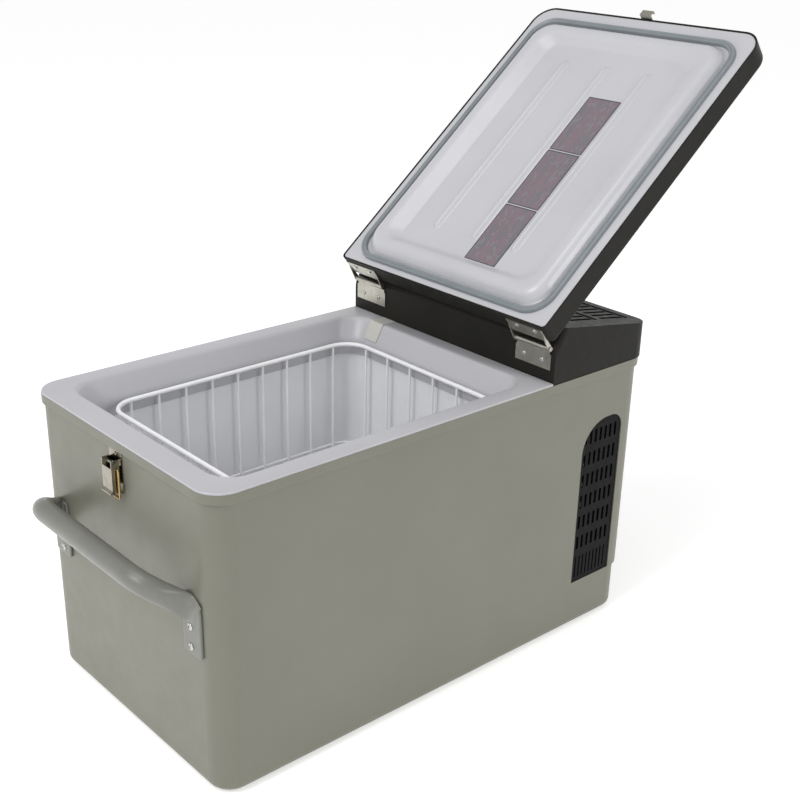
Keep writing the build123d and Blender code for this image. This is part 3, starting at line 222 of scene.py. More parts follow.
# ---- tank ---------------------------------------------------------------------------
# The tank is one vacuum-formed tub of pale grey polystyrene sheet, with rounded corners.
# Formed sheet is smooth and softly glossy, and keeps a trace of the mould's blasted face.
tank_sheet = surface("vacuum_formed_polystyrene", ("E8E9EB", "E2E3E5"), (0.34, 0.44), (1.2, 0.006),
                     drift_mm=90)
dress(tank_sheet, "inner_liner")


# ---- rim frame ----------------------------------------------------------------------
# A white ABS moulding caps the top of the cabinet. Its flat flange runs round the opening,
# and a sloping funnel with soft corners leads down into a short upright skirt.
def ring(spec, turns=14):
    """A rounded rectangle (x0, x1, half width, radius at x1, radius at x0), anticlockwise."""
    x0, x1, half, far, near = spec
    centres = ((x1 - far, half - far, far), (x0 + near, half - near, near),
               (x0 + near, near - half, near), (x1 - far, far - half, far))
    points = []
    for corner, (cx, cy, radius) in enumerate(centres):
        for step in range(turns + 1):
            angle = (corner + step / turns) * pi / 2
            points.append((cx + radius * cos(angle), cy + radius * sin(angle)))
    return points


def softened(levels, cuts, steps=6, closed=False):
    """Levels of a section with each corner rounded off, from a cut's length before to one after."""
    rounded = []
    count = len(levels)
    for index, level in enumerate(levels):
        if not closed and index in (0, count - 1) or not cuts[index]:
            rounded.append(tuple(level))
            continue
        sides = []
        for other in (levels[index - 1], levels[(index + 1) % count]):
            span = max(sum((a - b) ** 2 for a, b in zip(other, level)) ** 0.5, 1e-9)
            share = min(cuts[index] / span, 0.5)
            sides.append([a + (b - a) * share for a, b in zip(level, other)])
        for step in range(steps + 1):
            t = step / steps
            rounded.append(tuple(
                (1 - t) ** 2 * a + 2 * t * (1 - t) * m + t * t * b
                for a, m, b in zip(sides[0], level, sides[1])))
    return rounded


CREASE = radians(38)


def skin(name, rings, material, closed=False):
    """A mesh lofted through rings of equally many points, smooth but for its creases."""
    mesh = bpy.data.meshes.new(name)
    count = len(rings[0])
    points = [point for each in rings for point in each]
    last = len(rings) if closed else len(rings) - 1
    faces = []
    for row in range(last):
        above = (row + 1) % len(rings)
        for column in range(count):
            beside = (column + 1) % count
            faces.append((row * count + column, row * count + beside,
                          above * count + beside, above * count + column))
    if not closed:
        faces.append(tuple(reversed(range(count))))
        faces.append(tuple(range((len(rings) - 1) * count, len(rings) * count)))
    mesh.from_pydata(points, [], faces)
    whole = bmesh.new()
    whole.from_mesh(mesh)
    bmesh.ops.remove_doubles(whole, verts=whole.verts, dist=2e-6)
    bmesh.ops.dissolve_degenerate(whole, edges=whole.edges, dist=1e-7)
    bmesh.ops.recalc_face_normals(whole, faces=whole.faces)
    whole.to_mesh(mesh)
    whole.free()
    mesh.shade_smooth()
    mesh.set_sharp_from_angle(angle=CREASE)
    mesh.materials.append(material)
    piece = bpy.data.objects.new(name, mesh)
    bpy.context.scene.collection.objects.link(piece)
    return piece


def grown(spec, by):
    """The same rounded rectangle, larger all round."""
    x0, x1, half, far, near = spec
    return (x0 - by, x1 + by, half + by, far + by, near + by)


def baked(piece):
    """Turns a piece's modifiers into its mesh."""
    bpy.context.view_layer.update()
    piece.data = bpy.data.meshes.new_from_object(piece.evaluated_get(bpy.context.evaluated_depsgraph_get()))
    piece.modifiers.clear()


# White ABS: clean cool white with a low sheen, from a finely blasted mould.
white_abs = surface("moulded_white_abs", ("B4B4B8", "AFAFB3"), (0.30, 0.40), (0.9, 0.004), drift_mm=110)
FRAME_WALL = 2.2 * MM
FLANGE_THICK = 2.5 * MM
SKIRT_HIGH = 18 * MM
HOOD_GAP = 0.3 * MM
rim_low, rim_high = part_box("rim_frame")
rim_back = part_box("hood")[0].x - HOOD_GAP
flange_under = rim_high.z - FLANGE_THICK
throat_z = rim_low.z + SKIRT_HIGH
# Each outline: x0, x1, half width, radius at x1, radius at x0.
flange = (rim_low.x, rim_back, rim_high.y, 0.5 * MM, 30.7 * MM)
mouth = (-292 * MM, 130 * MM, 157 * MM, 32 * MM, 32 * MM)
throat = (-270 * MM, 115 * MM, 146 * MM, 26 * MM, 26 * MM)
rim_levels = [
    (*flange, flange_under), (*flange, rim_high.z), (*mouth, rim_high.z), (*throat, throat_z),
    (*throat, rim_low.z), (*grown(throat, FRAME_WALL), rim_low.z),
    (*grown(throat, FRAME_WALL), throat_z), (*grown(mouth, FRAME_WALL), flange_under),
]
rim_cuts = (0, 1.4 * MM, 7 * MM, 9 * MM, 0.7 * MM, 0.7 * MM, 3 * MM, 0)
rim_sections = softened(rim_levels, rim_cuts, closed=True)
rim_rings = [[Vector((x, y, level[5])) for x, y in ring(level[:5])] for level in rim_sections]
rim = skin("rim_moulding", rim_rings, white_abs, closed=True)
# A shallow pocket from the funnel's edge to the hood takes the harness cover.
POCKET_FLOOR = 358.75 * MM
POCKET_GAP = 0.1 * MM
cover_low, cover_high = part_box("harness_cover")
pocket_x0, pocket_x1 = mouth[1] - 3 * MM, rim_back + MM
pocket_y0, pocket_y1 = cover_low.y - POCKET_GAP, cover_high.y + POCKET_GAP
pocket_corners = ((pocket_x0, pocket_y0), (pocket_x1, pocket_y0),
                  (pocket_x1, pocket_y1), (pocket_x0, pocket_y1))
pocket_rings = [[(x, y, z) for x, y in pocket_corners] for z in (POCKET_FLOOR, rim_high.z + 5 * MM)]
pocket_tool = skin("pocket_tool", pocket_rings, white_abs)
pocket_cut = rim.modifiers.new("pocket", "BOOLEAN")
pocket_cut.object = pocket_tool
pocket_cut.operation = "DIFFERENCE"
baked(rim)
bpy.data.objects.remove(pocket_tool)
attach(rim, "cabinet")
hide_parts("rim_frame")

# The harness cover is a separate clip-on strip, moulded in a creamier natural ABS.
cream_abs = surface("moulded_natural_abs", ("BDBBB5", "B8B6AF"), (0.34, 0.44), (0.9, 0.005), drift_mm=30)
dress(cream_abs, "harness_cover")

# ---- machine compartment ------------------------------------------------------------
# Behind a galvanised bulkhead stand the compressor on its rubber mounts, the finned
# condenser with its fan, the drier, the copper pipes and the electronics.
# Hot-dip galvanised sheet: grey metal with the patchy flower of crystallised zinc.
galvanised, zinc_tree, zinc_out = new_material("galvanised_sheet")
zinc_place = add(zinc_tree, "ShaderNodeTexCoord").outputs["Object"]
zinc_flower = add(zinc_tree, "ShaderNodeTexVoronoi", {"Vector": zinc_place, "Scale": 1 / (11 * MM)})
zinc_grey = add(zinc_tree, "ShaderNodeSeparateColor", {"Color": zinc_flower.outputs["Color"]}).outputs["Red"]
zinc_tone = add(zinc_tree, "ShaderNodeMix", {
    "Factor": zinc_grey, "A": linear("8F9293"), "B": linear("B3B6B8")}, data_type="RGBA")
zinc_sheen = add(zinc_tree, "ShaderNodeMapRange", {
    "Value": zinc_grey, **NOISE_MIDDLE, "To Min": 0.32, "To Max": 0.5})
zinc_shader = add(zinc_tree, "ShaderNodeBsdfPrincipled", {
    "Base Color": zinc_tone.outputs["Result"], "Roughness": zinc_sheen.outputs["Result"], "Metallic": 1.0})
zinc_tree.links.new(zinc_shader.outputs["BSDF"], zinc_out.inputs["Surface"])
dress(galvanised, "bulkhead")
# Gloss black stoving enamel on the compressor's welded shell: runs a little, picks up dust.
black_enamel = surface("stoved_black_enamel", ("0E0E10", "17171A"), (0.22, 0.36), (3.0, 0.03), drift_mm=40)
dress(black_enamel, "compressor")
dress(black_rubber, "compressor_grommets")
# Drawn copper pipe: warm pink metal, browned where it was handled.
drawn_copper = surface("drawn_copper", ("B87451", "8F5638"), (0.24, 0.46), (0.6, 0.01), drift_mm=18,
                       shader={"Metallic": 1.0})
dress(drawn_copper, "discharge_pipe", "suction_pipe", "liquid_pipe", "capillary_tube", "sensor_tube",
      "filter_drier")
# Aluminium fin stock: pale, thin and a little wavy.
fin_stock = surface("aluminium_fin_stock", ("C3C5C6", "AEB1B3"), (0.3, 0.45), (2.4, 0.05), drift_mm=16,
                    shader={"Metallic": 1.0})
dress(fin_stock, "condenser")
# Black glass-filled nylon: matt, with the fine drag lines of its fibres.
black_nylon = surface("moulded_black_nylon", ("08080A", "0D0D10"), (0.5, 0.64), (0.7, 0.02), drift_mm=22,
                      shader={"Specular IOR Level": 0.12}, stretch=(1, 1, 2.5))
dress(black_nylon, "fan_frame", "fan_rotor", "thermostat_body", "control_module", "vent_grilles")
# Bright zinc plate on small steel parts: blue-white, with faint rainbow drift.
zinc_plate = surface("bright_zinc_plated_steel", ("B9BDC2", "C6C3BA"), (0.2, 0.34), (0.5, 0.012), drift_mm=5,
                     shader={"Metallic": 1.0})
dress(zinc_plate, "compressor_bolts")
# The louvred plate on the rear end is steel in the cabinet's own powder coat.
dress(khaki_powder, "rear_panel")

# ---- hood ---------------------------------------------------------------------------
# The hood over the machine compartment is one dark brown-black ABS moulding, with two
# groups of louvre slots sunk in shallow pans and a plain front wall for the hinges.
# Its mould was spark eroded, so it is satin with a fine even grit.
dark_abs = surface("spark_grained_dark_abs", ("1D1C19", "22211D"), (0.38, 0.5), (0.55, 0.02), drift_mm=60,
                   shader={"Specular IOR Level": 0.12})
dress(dark_abs, "hood", "lid_shell")

# ---- rear controls ------------------------------------------------------------------
# A black plate carries the knob, two lamps, the fuse and the two power inlets.
dress(black_nylon, "control_plate", "mains_inlet", "battery_inlet", "fuse_holder")
# The knob is moulded in a smoother black, so that its rim catches light.
knob_black = surface("moulded_black_phenolic", ("101010", "181817"), (0.2, 0.32), (0.5, 0.006), drift_mm=8)
dress(knob_black, "control_knob")
# Green acrylic lamp lenses: clear, coloured through and glossy.
lamp_lens = surface("green_acrylic", ("2C8A3A", "36A046"), (0.06, 0.12), (0.8, 0.003), drift_mm=4,
                    shader={"IOR": 1.49, "Transmission Weight": 0.4})
dress(lamp_lens, "indicator_lamps")

# ---- screws -------------------------------------------------------------------------
# Pan-head machine screws with a cross recess hold the handles, hinges, strike and plates.
# Each head is a dome with the recess pressed in, on the axis that its CAD screw has.
def islands(name):
    """The (lowest corner, highest corner) of every separate solid in a CAD node, in order of place."""
    whole = bmesh.new()
    whole.from_mesh(frame["nodes"][name].data)
    bmesh.ops.remove_doubles(whole, verts=whole.verts, dist=1e-6)
    waiting = set(whole.verts)
    boxes = []
    while waiting:
        group = {waiting.pop()}
        edge_of_group = list(group)
        while edge_of_group:
            vert = edge_of_group.pop()
            near = {edge.other_vert(vert) for edge in vert.link_edges} & waiting
            waiting -= near
            group |= near
            edge_of_group.extend(near)
        low, high = [[pick(vert.co[axis] for vert in group) for axis in range(3)] for pick in (min, max)]
        boxes.append((Vector(low), Vector(high)))
    whole.free()
    return sorted(boxes, key=lambda box: [round(value, 3) for value in box[0]])


# Shares of the head's radius: half the length of the recess's arms, and half their width.
HEAD_POINTS = 48
RECESS_LONG = 0.56
RECESS_HALF = 0.15


def head_ring(size, high, cross):
    """A ring of a screw head of radius 1 and height 1: a circle, or a cross-shaped outline."""
    points = []
    for step in range(HEAD_POINTS):
        turn = 2 * pi * step / HEAD_POINTS
        fold = abs((turn + pi / 4) % (pi / 2) - pi / 4)
        arm = min(RECESS_LONG / cos(fold), RECESS_HALF / max(sin(fold), 0.05))
        reach = size * (arm if cross else 1)
        points.append((reach * cos(turn), reach * sin(turn), high))
    return points


# Shares of the head's height, up the rim and over the crown, and the angle of a hard edge.
HEAD_RIM = 0.3
HEAD_CROWN = 0.62
HEAD_CREASE = radians(50)
# Nobody lines up the recesses: each head stops at its own turn, up to this many radians.
MOST_TWIST = 1.5
# From the seat over the dome to the recess: its mouth, its wall and its narrower floor.
dome = [head_ring(0.97, 0.0, False), head_ring(1.0, HEAD_RIM, False)]
dome += [head_ring(cos(turn), HEAD_RIM + HEAD_CROWN * sin(turn), False) for turn in (0.3, 0.55, 0.8)]
dome += [head_ring(1.0, 0.94, True), head_ring(0.94, 0.88, True), head_ring(0.6, 0.3, True)]
head_shape = skin("screw_head_shape", dome, zinc_plate)
head_shape.data.set_sharp_from_angle(angle=HEAD_CREASE)


def new_group(name, sockets):
    """An empty geometry node tree, and the identifiers of its (label, direction, kind) sockets."""
    tree = bpy.data.node_groups.new(name, "GeometryNodeTree")
    keys = {}
    for label, way, kind in sockets:
        socket = tree.interface.new_socket(label, in_out=way, socket_type=f"NodeSocket{kind}")
        keys[label] = socket.identifier
    return tree, keys


screw_tree, screw_keys = new_group("screw_heads", (
    ("Places", "INPUT", "Geometry"), ("Head", "INPUT", "Object"), ("Twist Seed", "INPUT", "Int"),
    ("Plating", "INPUT", "Material"), ("Heads", "OUTPUT", "Geometry")))
screw_in = add(screw_tree, "NodeGroupInput").outputs
screw_facing = add(screw_tree, "GeometryNodeInputNamedAttribute", {"Name": "facing"},
                   data_type="FLOAT_VECTOR")
screw_size = add(screw_tree, "GeometryNodeInputNamedAttribute", {"Name": "size"}, data_type="FLOAT_VECTOR")
screw_aim = add(screw_tree, "FunctionNodeAlignRotationToVector", {
    "Vector": screw_facing.outputs["Attribute"]}, axis="Z")
screw_random = add(screw_tree, "FunctionNodeRandomValue", {
    "Max": MOST_TWIST, "Seed": screw_in["Twist Seed"]}, data_type="FLOAT")
screw_twist = add(screw_tree, "ShaderNodeCombineXYZ", {"Z": screw_random.outputs[1]})
screw_turn = add(screw_tree, "FunctionNodeRotateRotation", {
    "Rotation": screw_aim.outputs["Rotation"], "Rotate By": screw_twist.outputs["Vector"]},
    rotation_space="LOCAL")
screw_shape = add(screw_tree, "GeometryNodeObjectInfo", {"Object": screw_in["Head"]})
screw_put = add(screw_tree, "GeometryNodeInstanceOnPoints", {
    "Points": screw_in["Places"], "Instance": screw_shape.outputs["Geometry"],
    "Rotation": screw_turn.outputs["Rotation"], "Scale": screw_size.outputs["Attribute"]})
screw_real = add(screw_tree, "GeometryNodeRealizeInstances", {"Geometry": screw_put.outputs["Instances"]})
screw_look = add(screw_tree, "GeometryNodeSetMaterial", {
    "Geometry": screw_real.outputs["Geometry"], "Material": screw_in["Plating"]})
add(screw_tree, "NodeGroupOutput", {"Heads": screw_look.outputs["Geometry"]})

SCREW_SETS = (
    # CAD node, body, the way that its heads face
    ("handle_screws", "cabinet", None),     # each faces away from the middle
    ("rear_screws", "cabinet", Vector((1, 0, 0))),
    ("hinge_screws_hood", "cabinet", Vector((-1, 0, 0))),
)
for seed, (node, body, facing) in enumerate(SCREW_SETS):
    places, facings, sizes = [], [], []
    for low, high in islands(node):
        out = facing or Vector((1 if low.x > 0 else -1, 0, 0))
        middle = (low + high) / 2
        middle.x = low.x if out.x > 0 else high.x
        places.append(middle)
        facings.extend(out)
        sizes.extend(((high.y - low.y) / 2, (high.z - low.z) / 2, high.x - low.x))
    heads = bpy.data.objects.new(f"{node}_heads", bpy.data.meshes.new(f"{node}_heads"))
    heads.data.from_pydata(places, [], [])
    for label, values in (("facing", facings), ("size", sizes)):
        heads.data.attributes.new(label, "FLOAT_VECTOR", "POINT").data.foreach_set("vector", values)
    bpy.context.scene.collection.objects.link(heads)
    maker = heads.modifiers.new("screw_heads", "NODES")
    maker.node_group = screw_tree
    maker[screw_keys["Head"]] = head_shape
    maker[screw_keys["Twist Seed"]] = seed
    maker[screw_keys["Plating"]] = zinc_plate
    baked(heads)
    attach(heads, body)
    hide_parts(node)
bpy.data.objects.remove(head_shape)
dress(zinc_plate, "hinge_screws_lid", "strike_screws")

# ---- handles ------------------------------------------------------------------------
# Each handle is a bent tube whose ends are pressed flat against the end wall, then
# painted a smooth satin grey. Two screws hold each foot.
# Satin paint on drawn steel tube: a shade greyer and glossier than the cabinet's powder.
satin_grey = surface("satin_painted_tube", ("6F706A", "74756E"), (0.28, 0.36), (1.4, 0.012), drift_mm=60)
TUBE_R = 12.5 * MM
TUBE_POINTS = 36
# Half of the tube's route, then the outline of a foot's plate, both in millimetres.
HANDLE_ROUTE = ((0, 42, 250), (106, 42, 250), (134, 3.4, 221), (147, 2.4, 214))     # across, out, up
HANDLE_CUTS = (0, 22, 18, 0)
PLATE_OUTLINE = ((120.5, 165), (153, 165), (153, 235), (120.5, 235))                # across, up
PLATE_CUTS = (3, 3, 20, 6)
PLATE_THICK = 3.6 * MM
# The tube is wholly pressed within PRESS_FULL of the wall, and round again PRESS_RUN further out.
PRESS_FULL = 3 * MM
PRESS_RUN = 22 * MM
PRESSED_HALF = 2.2 * MM
PRESSED_SPREAD = 4.0 * MM
WELD_GRAIN = 1.1 * MM
WELD_EASING = 8
for cad_name, out in (("handle_front", -1), ("handle_rear", 1)):
    handle_low, handle_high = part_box(cad_name)
    wall_x = handle_high.x if out < 0 else handle_low.x
    half_route = softened([[size * MM for size in stop] for stop in HANDLE_ROUTE],
                          [cut * MM for cut in HANDLE_CUTS], steps=14)
    route = [Vector((wall_x + out * away, -across, up)) for across, away, up in reversed(half_route[1:])]
    route += [Vector((wall_x + out * away, across, up)) for across, away, up in half_route]
    tube_rings = []
    for index, centre in enumerate(route):
        along = (route[min(index + 1, len(route) - 1)] - route[max(index - 1, 0)]).normalized()
        sideways = along.cross(Vector((0, 0, 1))).normalized()
        upward = sideways.cross(along)
        press = 1 - min(max((abs(centre.x - wall_x) - PRESS_FULL) / PRESS_RUN, 0.0), 1.0)
        press = press * press * (3 - 2 * press)
        thick = TUBE_R + (PRESSED_HALF - TUBE_R) * press
        tall = TUBE_R + PRESSED_SPREAD * press
        turns = [2 * pi * step / TUBE_POINTS for step in range(TUBE_POINTS)]
        tube_rings.append([centre + sideways * thick * cos(turn) + upward * tall * sin(turn)
                           for turn in turns])
    bits = [skin("handle_tube", tube_rings, satin_grey)]
    plate = softened([(y * MM, z * MM) for y, z in PLATE_OUTLINE], [cut * MM for cut in PLATE_CUTS],
                     steps=8, closed=True)
    for side in (-1, 1):
        plate_rings = [[(wall_x + out * away, side * y, z) for y, z in plate]
                       for away in (0.0, PLATE_THICK)]
        bits.append(skin("handle_plate", plate_rings, satin_grey))
    fused = bmesh.new()
    for bit in bits:
        fused.from_mesh(bit.data)
        bpy.data.objects.remove(bit)
    handle_mesh = bpy.data.meshes.new(cad_name)
    fused.to_mesh(handle_mesh)
    fused.free()
    handle_mesh.materials.append(satin_grey)
    pressed_handle = bpy.data.objects.new(f"pressed_{cad_name}", handle_mesh)
    bpy.context.scene.collection.objects.link(pressed_handle)
    weld = pressed_handle.modifiers.new("weld", "REMESH")
    weld.mode = "VOXEL"
    weld.voxel_size = WELD_GRAIN
    ease = pressed_handle.modifiers.new("ease", "SMOOTH")
    ease.factor = 0.5
    ease.iterations = WELD_EASING
    baked(pressed_handle)
    pressed_handle.data.shade_smooth()
    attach(pressed_handle, "cabinet")
    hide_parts(cad_name)

# ---- basket -------------------------------------------------------------------------
# The basket is welded steel wire dipped in white polyethylene, which rounds every joint.
# Dipped polyethylene: soft white and waxy, and a little lumpy where it ran before it set.
dipped_white = surface("polyethylene_dipped_wire", ("F0F0F2", "E8E8EA"), (0.3, 0.42), (3.5, 0.06),
                       drift_mm=30, shader={"Subsurface Weight": 0.08, "Subsurface Scale": 0.002})
ROD_POINTS = 14
rod_tree, rod_keys = new_group("bent_rods", (
    ("Centre Line", "INPUT", "Geometry"), ("Wire Radius", "INPUT", "Float"), ("Count", "INPUT", "Int"),
    ("Pitch", "INPUT", "Vector"), ("First", "INPUT", "Vector"), ("Coating", "INPUT", "Material"),
    ("Rods", "OUTPUT", "Geometry")))
rod_in = add(rod_tree, "NodeGroupInput").outputs
rod_line = add(rod_tree, "GeometryNodeMeshToCurve", {"Mesh": rod_in["Centre Line"]})
rod_section = add(rod_tree, "GeometryNodeCurvePrimitiveCircle", {
    "Resolution": ROD_POINTS, "Radius": rod_in["Wire Radius"]})
rod_wire = add(rod_tree, "GeometryNodeCurveToMesh", {
    "Curve": rod_line.outputs["Curve"], "Profile Curve": rod_section.outputs["Curve"], "Fill Caps": True})
rod_places = add(rod_tree, "GeometryNodeMeshLine", {
    "Count": rod_in["Count"], "Start Location": rod_in["First"], "Offset": rod_in["Pitch"]})
rod_put = add(rod_tree, "GeometryNodeInstanceOnPoints", {
    "Points": rod_places.outputs["Mesh"], "Instance": rod_wire.outputs["Mesh"]})
rod_real = add(rod_tree, "GeometryNodeRealizeInstances", {"Geometry": rod_put.outputs["Instances"]})
rod_soft = add(rod_tree, "GeometryNodeSetShadeSmooth", {"Geometry": rod_real.outputs["Geometry"]})
rod_look = add(rod_tree, "GeometryNodeSetMaterial", {
    "Geometry": rod_soft.outputs["Geometry"], "Material": rod_in["Coating"]})
add(rod_tree, "NodeGroupOutput", {"Rods": rod_look.outputs["Geometry"]})

basket_low, basket_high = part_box("basket")
RING_R = 2.8 * MM
ROD_R = 1.6 * MM
RING_CORNER = 32 * MM
RING_TURNS = 12
MIDDLE_RING_HIGH = 190 * MM
ROD_SINK = 0.8 * MM
LONG_PITCH = 43 * MM
CROSS_PITCH = 37.5 * MM
BEND_CUTS = (0, 13 * MM, 13 * MM, 0)
ring_x0, ring_x1 = basket_low.x + RING_R, basket_high.x - RING_R
ring_y = basket_high.y - RING_R
ring_z = basket_high.z - RING_R
long_floor = basket_low.z + ROD_R
cross_floor = long_floor + 2 * ROD_R - ROD_SINK
rim_wire = ring((ring_x0, ring_x1, ring_y, RING_CORNER, RING_CORNER), RING_TURNS)
mid_out = RING_R - ROD_R
mid_wire = ring((ring_x0 - mid_out, ring_x1 + mid_out, ring_y + mid_out, RING_CORNER, RING_CORNER),
                RING_TURNS)
long_rod = softened([(ring_x0, 0, ring_z), (ring_x0, 0, long_floor), (ring_x1, 0, long_floor),
                     (ring_x1, 0, ring_z)], BEND_CUTS, steps=10)
cross_rod = softened([(0, -ring_y, ring_z), (0, -ring_y, cross_floor), (0, ring_y, cross_floor),
                      (0, ring_y, ring_z)], BEND_CUTS, steps=10)
row_middle = (ring_x0 + ring_x1) / 2
BASKET_WIRES = (
    # piece, centre line, closed, wire radius, count, pitch, x of the row's middle
    ("basket_top_ring", [(x, y, ring_z) for x, y in rim_wire], True, RING_R, 1, (0, 0, 0), 0),
    ("basket_middle_ring", [(x, y, MIDDLE_RING_HIGH) for x, y in mid_wire], True, ROD_R, 1, (0, 0, 0), 0),
    ("basket_long_rods", long_rod, False, ROD_R, 6, (0, LONG_PITCH, 0), 0),
    ("basket_cross_rods", cross_rod, False, ROD_R, 9, (CROSS_PITCH, 0, 0), row_middle),
)
for name, line, closed, wire_radius, count, pitch, middle_x in BASKET_WIRES:
    wire = bpy.data.objects.new(name, bpy.data.meshes.new(name))
    links = [(index, index + 1) for index in range(len(line) - 1)]
    if closed:
        links.append((len(line) - 1, 0))
    wire.data.from_pydata(line, links, [])
    bpy.context.scene.collection.objects.link(wire)
    maker = wire.modifiers.new("bent_rods", "NODES")
    maker.node_group = rod_tree
    first = [-step * (count - 1) / 2 for step in pitch]
    first[0] += middle_x
    for label, value in (("Wire Radius", wire_radius), ("Count", count), ("Pitch", pitch), ("First", first),
                         ("Coating", dipped_white)):
        maker[rod_keys[label]] = value
    baked(wire)
    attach(wire, "basket")
    if name == "basket_top_ring":
        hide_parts("basket")

# ---- lid liner ----------------------------------------------------------------------
# The inside of the lid is one vacuum-formed white sheet: a flat flange, a raised ring that
# drops into the funnel, and a dished centre stiffened by three ribs.
lid_hinge = joints["lid_hinge"]
LID_PLACE = Vector(lid_hinge["pos_m"])
LID_RISE = pi + radians(lid_hinge["range_deg"][0])
LID_ALONG = Vector((cos(LID_RISE), 0, sin(LID_RISE)))
LID_INWARD = Vector((-sin(LID_RISE), 0, cos(LID_RISE)))


def on_lid(u, y, n):
    """A point of the open lid: u from the hinge, y across it, n from its outside inwards."""
    return LID_PLACE + LID_ALONG * u + Vector((0, y, 0)) + LID_INWARD * n


# Formed ABS sheet: glossier than the moulded rim, with barely a trace of grain.
formed_white = surface("vacuum_formed_white_abs", ("BBBBBF", "B6B6BA"), (0.2, 0.27), (1.4, 0.0006),
                       drift_mm=130)
# Depths inwards from the lid's outside, in millimetres.
FLANGE_AT = 36.0
RING_TOP_AT = 49.0
DISH_AT = 39.0
LID_TURNS = 18
liner_levels = [
    # from and to on the lid, half width, radius at the far end and near the hinge, depth; millimetres
    (5.9, 467.8, 179.5, 25.5, 4.5, 34.0), (5.9, 467.8, 179.5, 25.5, 4.5, FLANGE_AT),
    (23, 440, 156.5, 30, 30, FLANGE_AT), (32, 431, 148, 26, 26, RING_TOP_AT),
    (45, 419, 135, 24, 24, RING_TOP_AT), (56, 407, 114, 18, 18, DISH_AT), (60, 403, 110, 16, 16, DISH_AT),
]
LINER_CUTS = (0, 0.5, 5, 9, 9, 12, 0)
liner_sections = softened(liner_levels, LINER_CUTS, steps=10)
liner_rings = [[on_lid(u * MM, y * MM, level[5] * MM) for u, y in ring(level[:5], LID_TURNS)]
               for level in liner_sections]
liner = skin("lid_liner_sheet", liner_rings, formed_white)
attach(liner, "lid")
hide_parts("lid_liner")

# The three ribs are swages in the same sheet: low, round-topped and rounded at both ends.
RIB_Y = (-68 * MM, 0.0, 68 * MM)
RIB_FROM = 84 * MM
RIB_LONG = 297 * MM
RIB_HALF = 7.0 * MM
RIB_HIGH = 4.2 * MM
RIB_END = 10 * MM
RIB_SINK = 0.06 * MM
RIB_ROOT = 0.5 * MM
RIB_STEPS = 120
RIB_ACROSS = 12
for index, rib_y in enumerate(RIB_Y):
    rib_rings = []
    for step in range(RIB_STEPS + 1):
        share = step / RIB_STEPS
        rib_u = RIB_FROM + share * RIB_LONG
        short = 1 - min(1.0, min(share, 1 - share) * RIB_LONG / RIB_END)
        swell = (1 - short ** 2) ** 0.5
        row = []
        for side in range(RIB_ACROSS + 1):
            across = 2 * side / RIB_ACROSS - 1
            high = RIB_HIGH * swell * (0.5 + 0.5 * cos(pi * across)) - RIB_SINK
            row.append(on_lid(rib_u, rib_y + across * RIB_HALF * (0.2 + 0.8 * swell), DISH_AT * MM + high))
        row.append(on_lid(rib_u, rib_y, DISH_AT * MM - RIB_ROOT))
        rib_rings.append(row)
    rib = skin(f"lid_rib_{index + 1}", rib_rings, formed_white)
    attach(rib, "lid")

# ---- lid gasket ---------------------------------------------------------------------
# An extruded vinyl seal, pressed into a groove round the ring: two soft beads side by side.
# Plasticised vinyl: blue-grey, waxy sheen, a little dusty in the valley.
soft_vinyl = surface("extruded_soft_vinyl", ("787F82", "80868A"), (0.34, 0.46), (0.9, 0.008), drift_mm=40)
# The outer edge of the seal, then its width, its height and the valley's depth, in millimetres.
GASKET_OUT = (13.0, 450.3, 167.0, 34.0, 34.0)
BEAD_WIDE = 8.5
BEAD_HIGH = 5.7
VALLEY_DEEP = 1.5
BEAD_POINTS = 22
bead = []
for step in range(BEAD_POINTS + 1):
    share = step / BEAD_POINTS
    across = 2 * share - 1
    valley = VALLEY_DEEP * (cos(pi * across) + 1) / 2 * (1 - abs(across)) ** 2
    height = BEAD_HIGH * (1 - abs(across) ** 5) ** 0.5 - valley
    bead.append((*grown(GASKET_OUT, -BEAD_WIDE * share), FLANGE_AT + max(height, 0.0)))
gasket_rings = [[on_lid(u * MM, y * MM, level[5] * MM) for u, y in ring(level[:5], LID_TURNS)]
                for level in bead]
gasket = skin("lid_seal_beads", gasket_rings, soft_vinyl, closed=True)
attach(gasket, "lid")
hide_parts("lid_gasket")

# ---- lid labels ---------------------------------------------------------------------
# Three foil labels with a dark keyline and rows of plain printed dashes, which say nothing.
# Matt aluminium foil, printed grey all over: a little of the metal's sheen comes through.
LABEL_LONG = 90 * MM
LABEL_PITCH = 91.5 * MM
KEYLINE = 1.5 * MM
ROW_PITCH = 3.4 * MM
ROW_SHIFT = 0.37
DASH_LONG = 9 * MM
RED_LONG = 60 * MM
INK_COVER = 0.65
label_low, label_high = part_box("lid_labels")
label_u0 = (label_low.x - LID_PLACE.x - LID_INWARD.x * DISH_AT * MM) / LID_ALONG.x
label_middle = (label_low.y + label_high.y) / 2
label_half = (label_high.y - label_low.y) / 2
foil, foil_tree, foil_out = new_material("printed_matt_foil")
foil_place = add(foil_tree, "ShaderNodeTexCoord").outputs["Object"]
foil_local = add(foil_tree, "ShaderNodeMapping", {
    "Vector": foil_place, "Location": LID_PLACE, "Rotation": (0, -LID_RISE, 0)}, vector_type="TEXTURE")
foil_axes = add(foil_tree, "ShaderNodeSeparateXYZ", {"Vector": foil_local.outputs["Vector"]})
foil_u, foil_y = foil_axes.outputs["X"], foil_axes.outputs["Y"]
